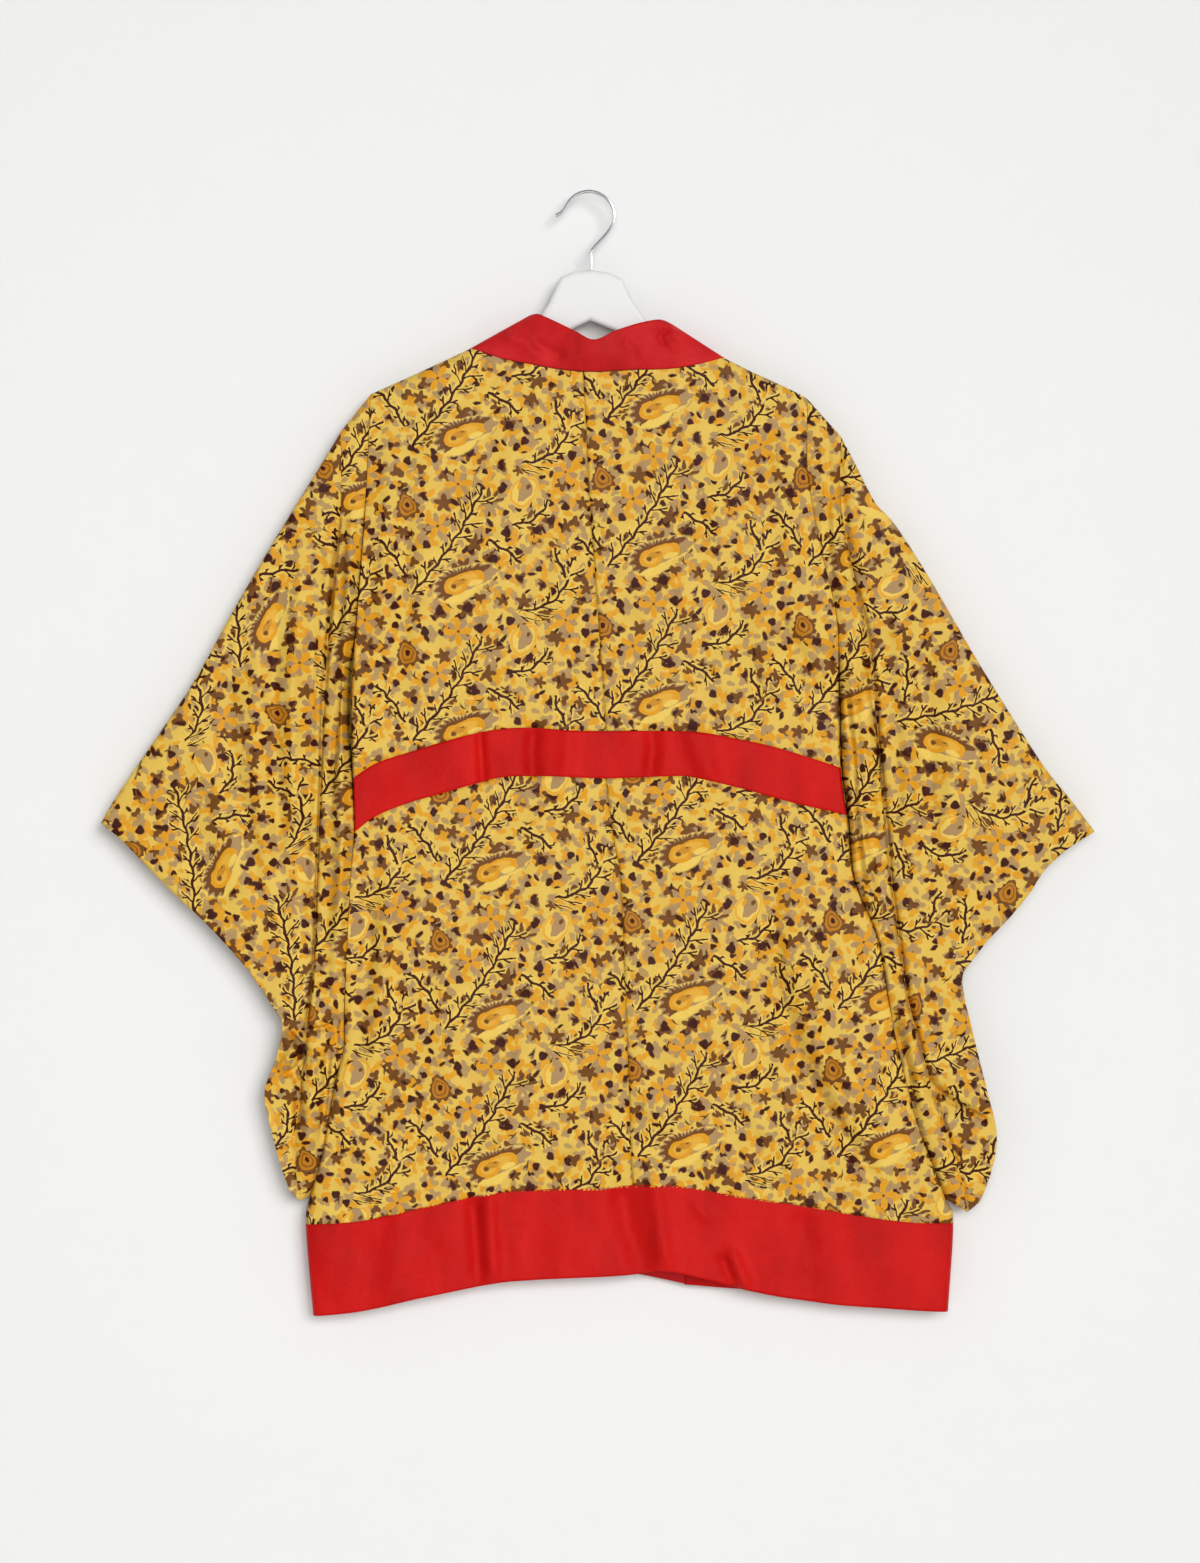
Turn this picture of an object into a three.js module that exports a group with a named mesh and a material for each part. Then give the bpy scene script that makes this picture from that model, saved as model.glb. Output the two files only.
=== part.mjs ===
// A short open-fronted kimono jacket, seen from its back, hung flat on a hanger with a wire hook.
// Millimetres, +Z up, the back faces -Y. The origin is the inner top of the hook.
import * as THREE from "three";

// Driving dimensions
const CLOTH = 1.2;
const BAND = 1.6;
const COLLAR = 2.2;
const SEAM_GAP = 0.3;
const HALF_GAP = SEAM_GAP / 2;
const HALF_DEPTH = 9;
const FOLD_RADIUS = 9;
const SIDE_HALF_DEPTH = 3.2;
const SIDE_SHARE = SIDE_HALF_DEPTH / HALF_DEPTH;
const SLEEVE_HALF_DEPTH = 11;
const LEAST_HALF_DEPTH = 2.2;
const HANGER_DEPTH = 11;
const HANGER_ROUND = 4.5;
const HANGER_SINK = 2.7;
const WIRE = 3.5;
const HOOK_RADIUS = 23.9;

// Heights that more than one piece shares
const UNDERARM = -776;
const DRAW_START = UNDERARM + 40;
const DRAW_LENGTH = 60;
const NECK_LEFT = [-114, -148];
const NECK_RIGHT = [128, -157];
const SHOULDER_LEFT = [-208, -191];
const SHOULDER_RIGHT = [206, -195];

const printed = new THREE.MeshStandardMaterial({ color: 0xd3b05c, roughness: 0.5, metalness: 0 });
const printedSleeve = new THREE.MeshStandardMaterial({ color: 0xcda650, roughness: 0.5, metalness: 0 });
const red = new THREE.MeshStandardMaterial({ color: 0xcb221e, roughness: 0.45, metalness: 0 });
const whitePaint = new THREE.MeshStandardMaterial({ color: 0xedecea, roughness: 0.4, metalness: 0 });
const chrome = new THREE.MeshStandardMaterial({ color: 0xc8c8cc, roughness: 0.12, metalness: 1 });

const garment = new THREE.Group();
garment.name = "kimono_on_hanger";

function addPiece(name, geometry, material) {
  const mesh = new THREE.Mesh(geometry, material);
  mesh.name = name;
  garment.add(mesh);
}

// An edge is a smooth line through [x, z] points, read by its share of length from 0 to 1.
function edge(points) {
  const line = new THREE.CatmullRomCurve3(
    points.map(([x, z]) => new THREE.Vector3(x, 0, z)), false, "centripetal");
  return (share) => line.getPointAt(THREE.MathUtils.clamp(share, 0, 1));
}

// Two edges that meet at a corner, read as one, with the corner at the share given.
function cornered(first, second, corner) {
  return (share) => (share <= corner ? first(share / corner) : second((share - corner) / (1 - corner)));
}

// A panel's flat place between its four edges.
function panelPlace(top, bottom, left, right) {
  const corners = [top(0), top(1), bottom(0), bottom(1)];
  return (across, down) => {
    const place = new THREE.Vector3();
    place.addScaledVector(top(across), 1 - down);
    place.addScaledVector(bottom(across), down);
    place.addScaledVector(left(down), 1 - across);
    place.addScaledVector(right(down), across);
    place.addScaledVector(corners[0], -(1 - across) * (1 - down));
    place.addScaledVector(corners[1], -across * (1 - down));
    place.addScaledVector(corners[2], -(1 - across) * down);
    place.addScaledVector(corners[3], -across * down);
    return place;
  };
}

// Cloth turns over a fold in a quarter round: 0 at the fold's line, 1 past its radius.
function turned(distance, radius = FOLD_RADIUS) {
  const left = 1 - THREE.MathUtils.clamp(distance / radius, 0, 1);
  return Math.sqrt(1 - left * left);
}

// A crease is a soft ridge, or a trough where its height is below 0, along a line of [x, z] points.
function creaseHeight(creases, x, z) {
  let height = 0;
  for (const { line, wide, high } of creases) {
    let nearest = Infinity;
    let along = 0;
    line.slice(1).forEach(([endX, endZ], index) => {
      const [startX, startZ] = line[index];
      const spanX = endX - startX;
      const spanZ = endZ - startZ;
      const share = THREE.MathUtils.clamp(
        ((x - startX) * spanX + (z - startZ) * spanZ) / (spanX * spanX + spanZ * spanZ), 0, 1);
      const distance = Math.hypot(x - startX - share * spanX, z - startZ - share * spanZ);
      if (distance < nearest) {
        nearest = distance;
        along = (index + share) / (line.length - 1);
      }
    });
    const fade = Math.min(1, 5 * Math.min(along, 1 - along) + 0.25);
    height += high * fade * Math.exp(-((nearest / wide) ** 2));
  }
  return height;
}

// Shares from 0 to 1 in even steps.
function evenSteps(count) {
  return Array.from({ length: count + 1 }, (_, index) => index / count);
}

function surfaceNormal(surface, across, down) {
  const step = 1e-3;
  const acrossSpan = surface(across + step, down).sub(surface(across - step, down));
  const downSpan = surface(across, down + step).sub(surface(across, down - step));
  return acrossSpan.cross(downSpan).normalize();
}

function closedGeometry(points, triangles) {
  let volume = 0;
  for (const [a, b, c] of triangles) {
    volume += points[a].dot(new THREE.Vector3().crossVectors(points[b], points[c]));
  }
  const order = volume > 0 ? triangles : triangles.map(([a, b, c]) => [a, c, b]);
  const geometry = new THREE.BufferGeometry();
  geometry.setAttribute("position",
    new THREE.Float32BufferAttribute(points.flatMap((point) => point.toArray()), 3));
  geometry.setIndex(order.flat());
  geometry.computeVertexNormals();
  return geometry;
}

// The inner face lies behind the outer one. Where cloth hangs flat it is moved straight back, so that
// a panel's edge stays on its seam. Where it turns over a fold it follows the fold's own slope.
function innerPoint(surface, across, down, thickness, inward) {
  const point = surface(across, down);
  const normal = surfaceNormal(surface, across, down).multiplyScalar(inward);
  const slanted = point.clone().addScaledVector(normal, thickness);
  const facing = Math.abs(normal.y);
  const straight = point.clone();
  straight.y += Math.sign(normal.y) * thickness / Math.max(facing, 0.5);
  return slanted.lerp(straight, THREE.MathUtils.smoothstep(facing, 0.45, 0.75));
}

// A wall of cloth on a surface: the outer points, the same points moved in, and rims between them.
// A wall that goes all round closes on itself down its rows, and its first ring stays on its seam.
// Any other stays on its own side of the middle plane: -1 for the back, 1 for the front.
function clothWall(surface, acrossSteps, downSteps, thickness, inward, ownSide = 0) {
  const goesRound = ownSide === 0;
  const outer = [];
  const inner = [];
  for (const across of acrossSteps) {
    for (const down of downSteps) {
      const face = surface(across, down);
      const point = innerPoint(surface, across, down, thickness, inward);
      if (!goesRound) point.y = ownSide * Math.max(ownSide * point.y, HALF_GAP);
      else if (across === 0) point.x = face.x > 0 ? Math.max(point.x, face.x) : Math.min(point.x, face.x);
      outer.push(face);
      inner.push(point);
    }
  }
  const rows = downSteps.length;
  const columns = acrossSteps.length;
  const inside = outer.length;
  const at = (column, row) => column * rows + (row % rows);
  const rowSpans = goesRound ? rows : rows - 1;
  const triangles = [];
  const quad = (a, b, c, d) => triangles.push([a, b, c], [a, c, d]);
  for (let column = 0; column < columns - 1; column += 1) {
    for (let row = 0; row < rowSpans; row += 1) {
      const a = at(column, row);
      const b = at(column + 1, row);
      const c = at(column + 1, row + 1);
      const d = at(column, row + 1);
      quad(a, b, c, d);
      quad(inside + a, inside + d, inside + c, inside + b);
    }
    if (!goesRound) {
      quad(at(column + 1, 0), at(column, 0), inside + at(column, 0), inside + at(column + 1, 0));
      const last = rows - 1;
      const next = at(column + 1, last);
      quad(at(column, last), next, inside + next, inside + at(column, last));
    }
  }
  for (let row = 0; row < rowSpans; row += 1) {
    quad(at(0, row), at(0, row + 1), inside + at(0, row + 1), inside + at(0, row));
    const last = columns - 1;
    quad(at(last, row + 1), at(last, row), inside + at(last, row), inside + at(last, row + 1));
  }
  return closedGeometry([...outer, ...inner], triangles);
}

// Body lines. Each is [x, z] as seen from behind. Side lines run down and the others run across.
const SIDE_LEFT = [
  SHOULDER_LEFT, [-211, -264], [-216, -337], [-222, -410], [-226, -483], [-225, -556], [-223.5, -607],
  [-227, -655], [-230, -712], [-233, -776], [-234, -812], [-243, -848], [-249, -884], [-256, -920],
  [-266, -953], [-270, -979], [-263, -1066]];
const SIDE_RIGHT = [
  SHOULDER_RIGHT, [206, -265], [218, -335], [234, -405], [236, -475], [238, -546], [244, -591],
  [250, -650], [272, -705], [283, -765], [291, -805], [302, -850], [313, -890], [327, -926],
  [338, -956], [345, -978], [340, -1062]];
const NECK_SEAM = [
  NECK_LEFT, [-84, -158], [-54, -164], [-25, -169], [6, -171], [38, -169], [76, -168], [101, -164],
  NECK_RIGHT];
const SHOULDER_LINE_LEFT = [SHOULDER_LEFT, [-170, -174], [-131, -156], NECK_LEFT];
const SHOULDER_LINE_RIGHT = [NECK_RIGHT, [154, -170], [174, -179], [195, -189], SHOULDER_RIGHT];
const WAIST_TOP = [
  [-225, -556], [-203, -542], [-174, -532], [-127, -518], [-96, -511], [-61, -508], [-11, -511],
  [46, -511], [100, -512], [141, -519], [181, -528], [238, -546]];
const WAIST_BOTTOM = [
  [-223.5, -607], [-203, -592], [-174, -580], [-143, -571], [-111, -562], [-83, -555], [-42, -554],
  [14, -556], [78, -554], [97, -555], [141, -565], [188, -578], [244, -591]];
const HEM_TOP = [
  [-270, -979], [-217, -975], [-148, -960], [-114, -953], [-78, -947], [-30, -945], [10, -944],
  [58, -941], [94, -943], [131, -950], [203, -961], [288, -975], [345, -978]];
const HEM_BOTTOM = [
  [-263, -1066], [-216, -1061], [-163, -1049], [-103, -1037], [-78, -1033], [-30, -1030],
  [34, -1027], [70, -1023], [106, -1030], [145, -1040], [179, -1047], [228, -1054], [276, -1058],
  [340, -1062]];
const CENTRE_X = 15;
const CENTRE_SEAM = [
  [-7, -172], [0, -296], [5, -366], [15, -511], [15, -556], [24, -623], [30, -672], [40, -944],
  [41, -1027]];

function lastOf(list) {
  return list[list.length - 1];
}

// The later end of the stretch of a line where a test is first met, or of its last stretch.
function stretchEnd(points, test) {
  const found = points.findIndex(test);
  return found < 0 ? points.length - 1 : Math.max(found, 1);
}

// Reads a smooth line that runs across at x, and a straight-sided one that runs down at z.
function heightAt(points, x) {
  const found = stretchEnd(points, ([pointX]) => pointX >= x);
  const at = (index) => points[THREE.MathUtils.clamp(index, 0, points.length - 1)];
  const [before, start, end, after] = [at(found - 2), at(found - 1), at(found), at(found + 1)];
  const span = end[0] - start[0];
  const t = THREE.MathUtils.clamp((x - start[0]) / span, 0, 1);
  const slopeStart = (end[1] - before[1]) / (end[0] - before[0]) * span;
  const slopeEnd = (after[1] - start[1]) / (after[0] - start[0]) * span;
  const rise = end[1] - start[1];
  return start[1] + t * (slopeStart + t * (3 * rise - 2 * slopeStart - slopeEnd
    + t * (slopeStart + slopeEnd - 2 * rise)));
}
function lineXAt(points, z) {
  const found = stretchEnd(points, ([, pointZ]) => pointZ <= z);
  const [x0, z0] = points[found - 1];
  const [x1, z1] = points[found];
  return x0 + THREE.MathUtils.clamp((z - z0) / (z1 - z0), 0, 1) * (x1 - x0);
}

// The edges of a panel, each inset by half a seam's gap.
function edgeAcross(points, fromX, toX, inset) {
  return (share) => {
    const x = THREE.MathUtils.lerp(fromX, toX, share);
    return new THREE.Vector3(x, 0, heightAt(points, x) + inset);
  };
}
function edgeDown(points, fromZ, toZ, inset) {
  return (share) => {
    const z = THREE.MathUtils.lerp(fromZ, toZ, share);
    return new THREE.Vector3(lineXAt(points, z) + inset, 0, z);
  };
}

// Shares down a panel at the heights of its side line, with more steps where it turns over a fold.
const TURN_STEPS = [0, 0.4, 1.8, 4.5, 9];
const STEP_PAST_TURN = 30;
function downSteps(side, fromZ, toZ, turnsOver) {
  const share = (z) => (z - fromZ) / (toZ - fromZ);
  const levels = side.map(([, z]) => z).filter((z) => z < fromZ - 1 && z > toZ + 1);
  const start = turnsOver ? TURN_STEPS.map((drop) => share(fromZ - drop)) : [0];
  const first = turnsOver ? [share(fromZ - STEP_PAST_TURN)] : [];
  return [...start, ...first, ...levels.map(share), 1];
}

// Soft folds of the back, as seen from behind: the line, the half width and the height.
const BACK_CREASES = [
  { line: [[172, -640], [178, -760], [197, -816], [215, -855], [237, -892], [278, -947]],
    wide: 9, high: -4 },
  { line: [[188, -700], [212, -800], [240, -865], [290, -935]], wide: 12, high: 4 },
  { line: [[180, -405], [199, -440], [219, -475]], wide: 8, high: -4 },
  { line: [[-110, -953], [-106, -985], [-102, -1038]], wide: 7, high: -4 },
  { line: [[-84, -900], [-82, -985], [-76, -1034]], wide: 9, high: 4 },
  { line: [[20, -905], [34, -985], [46, -1029]], wide: 13, high: -4 },
  { line: [[62, -930], [68, -985], [74, -1024]], wide: 9, high: 4 },
  { line: [[44, -855], [66, -878], [90, -900]], wide: 7, high: 3 },
  { line: [[132, -1000], [140, -1018], [150, -1042]], wide: 8, high: 4 },
  { line: [[-150, -620], [-165, -760], [-185, -900]], wide: 16, high: 4 },
  { line: [[-105, -505], [-103, -535], [-101, -566]], wide: 6, high: -3 },
  { line: [[-48, -500], [-50, -530], [-46, -560]], wide: 8, high: -2.5 },
  { line: [[96, -505], [104, -535], [112, -566]], wide: 9, high: 3 },
  { line: [[-160, -230], [-150, -330], [-158, -440]], wide: 18, high: 3 },
  { line: [[120, -240], [128, -340], [150, -450]], wide: 16, high: 3 },
];

// How far the outer face of the body stands from the middle plane, before its creases.
// It turns over at the shoulders, and below the underarm it draws in towards the side seams.
function drawnShare(z) {
  return THREE.MathUtils.clamp((DRAW_START - z) / DRAW_LENGTH, 0, 1);
}
function sideDraw(x, z, sideLeft, sideRight) {
  const distance = Math.min(x - sideLeft, sideRight - x);
  const drawn = SIDE_SHARE + (1 - SIDE_SHARE) * turned(distance, 2 * FOLD_RADIUS);
  return THREE.MathUtils.lerp(1, drawn, drawnShare(z));
}
function bodyDepth(creases, x, z, turn) {
  const draw = sideDraw(x, z, lineXAt(SIDE_LEFT, z), lineXAt(SIDE_RIGHT, z));
  return (HALF_DEPTH + creaseHeight(creases, x, z)) * draw * turn;
}
const backDepth = (x, z, turn) => -bodyDepth(BACK_CREASES, x, z, turn);

// A piece of the back or the front: a place between four edges, a depth and a wall.
function panel({ edges, depth, across, down, thickness, ownSide }) {
  const place = panelPlace(...edges);
  const surface = (acrossShare, downShare) => {
    const point = place(acrossShare, downShare);
    point.y = depth(point, acrossShare, downShare);
    return point;
  };
  return clothWall(surface, across, down, thickness, -ownSide, ownSide);
}

// Steps across the back on each side of its centre seam. The neck point falls on one of them.
const centreXAt = (z) => lineXAt(CENTRE_SEAM, z);
const NECK_SHARE_LEFT = (NECK_LEFT[0] - SHOULDER_LEFT[0]) / (centreXAt(0) - SHOULDER_LEFT[0]);
const NECK_SHARE_RIGHT = (NECK_RIGHT[0] - centreXAt(0)) / (SHOULDER_RIGHT[0] - centreXAt(0));
const NECK_STEP = 0.02;
const SIDE_STEPS = [0, 0.05, 0.12, 0.25, 0.5, 0.75, 1];
const LEFT_STEPS = [
  ...SIDE_STEPS.map((share) => share * NECK_SHARE_LEFT),
  NECK_SHARE_LEFT + NECK_STEP,
  ...evenSteps(7).slice(1).map((share) => NECK_SHARE_LEFT + share * (1 - NECK_SHARE_LEFT))];
const RIGHT_STEPS = [
  ...evenSteps(8).slice(0, -1).map((share) => share * NECK_SHARE_RIGHT),
  NECK_SHARE_RIGHT - NECK_STEP,
  NECK_SHARE_RIGHT,
  ...SIDE_STEPS.slice(0, -1).reverse().map((share) => 1 - share * (1 - NECK_SHARE_RIGHT))];

// Cloth that turns over the shoulder line, but hangs open along the neck seam past the neck point.
const NECK_TURN = 5;
const LEAST_TURN = HALF_GAP / HALF_DEPTH;
function shoulderTurn(x, drop) {
  const pastNeck = Math.max(0, Math.min(x - NECK_LEFT[0], NECK_RIGHT[0] - x));
  const open = turned(pastNeck, NECK_TURN);
  return Math.max(THREE.MathUtils.lerp(turned(drop), 1, open), LEAST_TURN);
}

// Upper back: two panels, from the shoulder fold and the neck seam down to the waist band.
function upperBack(isLeft) {
  const seam = centreXAt(0);
  const waist = centreXAt(heightAt(WAIST_TOP, CENTRE_X));
  const seamInset = isLeft ? -HALF_GAP : HALF_GAP;
  const neck = isLeft
    ? edgeAcross(NECK_SEAM, NECK_LEFT[0], seam + seamInset, -HALF_GAP)
    : edgeAcross(NECK_SEAM, seam + seamInset, NECK_RIGHT[0], -HALF_GAP);
  const shoulder = isLeft
    ? edgeAcross(SHOULDER_LINE_LEFT, SHOULDER_LEFT[0] + HALF_GAP, NECK_LEFT[0], 0)
    : edgeAcross(SHOULDER_LINE_RIGHT, NECK_RIGHT[0], SHOULDER_RIGHT[0] - HALF_GAP, 0);
  const top = isLeft
    ? cornered(shoulder, neck, NECK_SHARE_LEFT)
    : cornered(neck, shoulder, NECK_SHARE_RIGHT);
  const bottom = isLeft
    ? edgeAcross(WAIST_TOP, WAIST_TOP[0][0] + HALF_GAP, waist + seamInset, HALF_GAP)
    : edgeAcross(WAIST_TOP, waist + seamInset, lastOf(WAIST_TOP)[0] - HALF_GAP, HALF_GAP);
  const centre = edgeDown(CENTRE_SEAM, top(isLeft ? 1 : 0).z, bottom(isLeft ? 1 : 0).z, seamInset);
  const sideLine = isLeft ? SIDE_LEFT : SIDE_RIGHT;
  const [fromZ, toZ] = isLeft ? [top(0).z, bottom(0).z] : [top(1).z, bottom(1).z];
  const side = edgeDown(sideLine, fromZ, toZ, -seamInset);
  return panel({
    edges: isLeft ? [top, bottom, side, centre] : [top, bottom, centre, side],
    depth: (point, across, down) => {
      const drop = top(across).z - point.z;
      return backDepth(point.x, point.z, shoulderTurn(top(across).x, drop));
    },
    across: isLeft ? LEFT_STEPS : RIGHT_STEPS,
    down: downSteps(sideLine, fromZ, toZ, true),
    thickness: CLOTH,
    ownSide: -1,
  });
}
addPiece("upper_back_left", upperBack(true), printed);
addPiece("upper_back_right", upperBack(false), printed);

// A strip or a panel of the back that lies flat between two lines, with the sides of the body.
function flatBack(topLine, bottomLine, thickness, half, middle) {
  const seamInset = half === "left" ? -HALF_GAP : HALF_GAP;
  const edgesOf = (fromTop, toTop, fromBottom, toBottom) => [
    edgeAcross(topLine, fromTop, toTop, -HALF_GAP),
    edgeAcross(bottomLine, fromBottom, toBottom, middle ? HALF_GAP : 0)];
  const [seamTop, seamBottom] = [topLine, bottomLine].map((line) => centreXAt(heightAt(line, CENTRE_X)));
  const [leftTop, leftBottom] = [topLine[0][0], bottomLine[0][0]].map((x) => x + HALF_GAP);
  const [rightTop, rightBottom] = [lastOf(topLine), lastOf(bottomLine)].map(([x]) => x - HALF_GAP);
  let lines;
  if (half === "left") {
    lines = edgesOf(leftTop, seamTop + seamInset, leftBottom, seamBottom + seamInset);
  } else if (half === "right") {
    lines = edgesOf(seamTop + seamInset, rightTop, seamBottom + seamInset, rightBottom);
  } else {
    const left = edgesOf(leftTop, seamTop, leftBottom, seamBottom);
    const right = edgesOf(seamTop, rightTop, seamBottom, rightBottom);
    lines = [0, 1].map((index) => cornered(left[index], right[index], 0.5));
  }
  const [top, bottom] = lines;
  const down = (line, share, inset) => edgeDown(line, top(share).z, bottom(share).z, inset);
  const left = half === "right" ? down(CENTRE_SEAM, 0, seamInset) : down(SIDE_LEFT, 0, HALF_GAP);
  const right = half === "left" ? down(CENTRE_SEAM, 1, seamInset) : down(SIDE_RIGHT, 1, -HALF_GAP);
  const both = [
    ...LEFT_STEPS.map((share) => share / 2),
    ...RIGHT_STEPS.slice(1).map((share) => 0.5 + share / 2)];
  const sideShare = half === "right" ? 1 : 0;
  const sideLine = half === "right" ? SIDE_RIGHT : SIDE_LEFT;
  const rows = middle
    ? downSteps(sideLine, top(sideShare).z, bottom(sideShare).z, false)
    : evenSteps(3);
  return panel({
    edges: [top, bottom, left, right],
    depth: (point) => backDepth(point.x, point.z, 1),
    across: { left: LEFT_STEPS, right: RIGHT_STEPS, whole: both }[half],
    down: rows.length > 2 ? rows : evenSteps(2),
    thickness,
    ownSide: -1,
  });
}
// Waist band: one red strip set in between the upper and the lower back.
addPiece("waist_band", flatBack(WAIST_TOP, WAIST_BOTTOM, BAND, "whole", true), red);
// Lower back: two panels, from the waist band down to the hem band.
addPiece("lower_back_left", flatBack(WAIST_BOTTOM, HEM_TOP, CLOTH, "left", true), printed);
addPiece("lower_back_right", flatBack(WAIST_BOTTOM, HEM_TOP, CLOTH, "right", true), printed);
// Hem band of the back: one deep red strip.
addPiece("hem_band_back", flatBack(HEM_TOP, HEM_BOTTOM, BAND, "whole", false), red);

// Fronts: one panel each side, from the shoulder fold to the hem band, open down the middle.
const FRONT_EDGE_LEFT = [
  NECK_LEFT, [-111, -166], [-100, -210], [-75, -330], [-48, -540], [-28, -780], [-18, -950], [-14, -1027]];
const FRONT_EDGE_RIGHT = [
  NECK_RIGHT, [126, -175], [118, -220], [99, -340], [84, -540], [82, -780], [86, -950], [90, -1038]];
const FRONT_HEM_TOP_LEFT = [[-270, -979], [-216, -974], [-148, -962], [-80, -953], [-18, -949]];
const FRONT_HEM_TOP_RIGHT = [[86, -953], [131, -958], [203, -966], [288, -975], [345, -978]];
const FRONT_HEM_BOTTOM_LEFT = [[-263, -1066], [-216, -1059], [-163, -1048], [-103, -1037], [-14, -1027]];
const FRONT_HEM_BOTTOM_RIGHT = [
  [90, -1038], [136, -1042], [179, -1046], [228, -1052], [276, -1057], [340, -1062]];
const FRONT_CREASES = [
  { line: [[-190, -260], [-175, -450], [-195, -700]], wide: 14, high: 4 },
  { line: [[-120, -300], [-105, -520], [-100, -860]], wide: 12, high: 3 },
  { line: [[-200, -760], [-225, -880], [-238, -1010]], wide: 11, high: -3 },
  { line: [[-60, -700], [-66, -860], [-62, -1020]], wide: 10, high: 3 },
  { line: [[180, -270], [168, -450], [190, -680]], wide: 15, high: 4 },
  { line: [[130, -420], [132, -640], [140, -930]], wide: 10, high: -3 },
  { line: [[200, -740], [238, -860], [285, -1000]], wide: 12, high: 4 },
  { line: [[170, -880], [176, -960], [180, -1040]], wide: 9, high: 3 },
];
const frontDepth = (x, z, turn) => bodyDepth(FRONT_CREASES, x, z, turn);
const FRONT_STEPS = [0, 0.025, 0.06, 0.125, 0.25, 0.4, 0.6, 0.8, 1];
function front(isLeft) {
  const mirrored = (steps) => (isLeft ? steps : steps.map((share) => 1 - share).reverse());
  const sideLine = isLeft ? SIDE_LEFT : SIDE_RIGHT;
  const frontEdge = isLeft ? FRONT_EDGE_LEFT : FRONT_EDGE_RIGHT;
  const hemTop = isLeft ? FRONT_HEM_TOP_LEFT : FRONT_HEM_TOP_RIGHT;
  const hemBottom = isLeft ? FRONT_HEM_BOTTOM_LEFT : FRONT_HEM_BOTTOM_RIGHT;
  const inset = isLeft ? HALF_GAP : -HALF_GAP;
  const across = (line, drop) => (isLeft
    ? edgeAcross(line, line[0][0] + inset, lastOf(line)[0] - inset, drop)
    : edgeAcross(line, line[0][0] - inset, lastOf(line)[0] + inset, drop));
  const piece = (top, bottom, thickness, rows, turnsOver) => {
    const opening = edgeDown(frontEdge, top(isLeft ? 1 : 0).z, bottom(isLeft ? 1 : 0).z, -inset);
    const [fromZ, toZ] = [top(isLeft ? 0 : 1).z, bottom(isLeft ? 0 : 1).z];
    const side = edgeDown(sideLine, fromZ, toZ, inset);
    return panel({
      edges: isLeft ? [top, bottom, side, opening] : [top, bottom, opening, side],
      depth: (point, acrossShare) => {
        const drop = top(acrossShare).z - point.z;
        const turn = turnsOver ? Math.max(turned(drop), LEAST_TURN) : 1;
        return frontDepth(point.x, point.z, turn);
      },
      across: mirrored(FRONT_STEPS),
      down: rows ?? downSteps(sideLine, fromZ, toZ, true),
      thickness,
      ownSide: 1,
    });
  };
  const shoulder = isLeft
    ? edgeAcross(SHOULDER_LINE_LEFT, SHOULDER_LEFT[0] + HALF_GAP, NECK_LEFT[0] - HALF_GAP, 0)
    : edgeAcross(SHOULDER_LINE_RIGHT, NECK_RIGHT[0] + HALF_GAP, SHOULDER_RIGHT[0] - HALF_GAP, 0);
  return {
    panel: piece(shoulder, across(hemTop, HALF_GAP), CLOTH, null, true),
    hemBand: piece(across(hemTop, -HALF_GAP), across(hemBottom, 0), BAND, evenSteps(3), false),
  };
}
const [frontLeft, frontRight] = [front(true), front(false)];
addPiece("front_left", frontLeft.panel, printed);
addPiece("front_right", frontRight.panel, printed);
addPiece("hem_band_front_left", frontLeft.hemBand, red);
addPiece("hem_band_front_right", frontRight.hemBand, red);

// Collar: a doubled red band, sewn round the neck and down both front edges. It is built in five
// stretches: the back of the neck, the two sides of the neck, and the two long fronts.
// A row holds a point of its free edge and how far it swells between its edges.
const COLLAR_BACK_ROWS = [
  { free: [-57, -0.6, -116], swell: 0 },
  { free: [-50, -6, -115.5], swell: 2 },
  { free: [-43, -10, -118.5], swell: 3 },
  { free: [-30, -14, -125], swell: 4 },
  { free: [-13, -19, -134], swell: 5 },
  { free: [4, -22, -142], swell: 6 },
  { free: [24, -18, -133], swell: 5 },
  { free: [45, -13, -125.5], swell: 4 },
  { free: [62, -9, -121.5], swell: 3 },
  { free: [70, -5, -121.5], swell: 2 },
  { free: [78, -0.6, -124.5], swell: 0 },
];
function collarStretch(sewn, free, swell, along, ownSide) {
  const surface = (alongShare, across) => {
    const share = THREE.MathUtils.clamp(alongShare, 0, 1);
    const point = sewn(share).lerp(free(share), across);
    point.y += ownSide * swell(share) * Math.sin(Math.PI * THREE.MathUtils.clamp(across, 0, 1));
    return point;
  };
  return clothWall(surface, along, evenSteps(4), COLLAR, 1, ownSide);
}
function curveThrough(points) {
  const line = new THREE.CatmullRomCurve3(
    points.map((point) => new THREE.Vector3(...point)), false, "centripetal");
  return (share) => line.getPoint(share);
}
const COLLAR_GAP = 0.4;
const COLLAR_END_STEPS = [0, 0.012, 0.03, 0.055];
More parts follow.
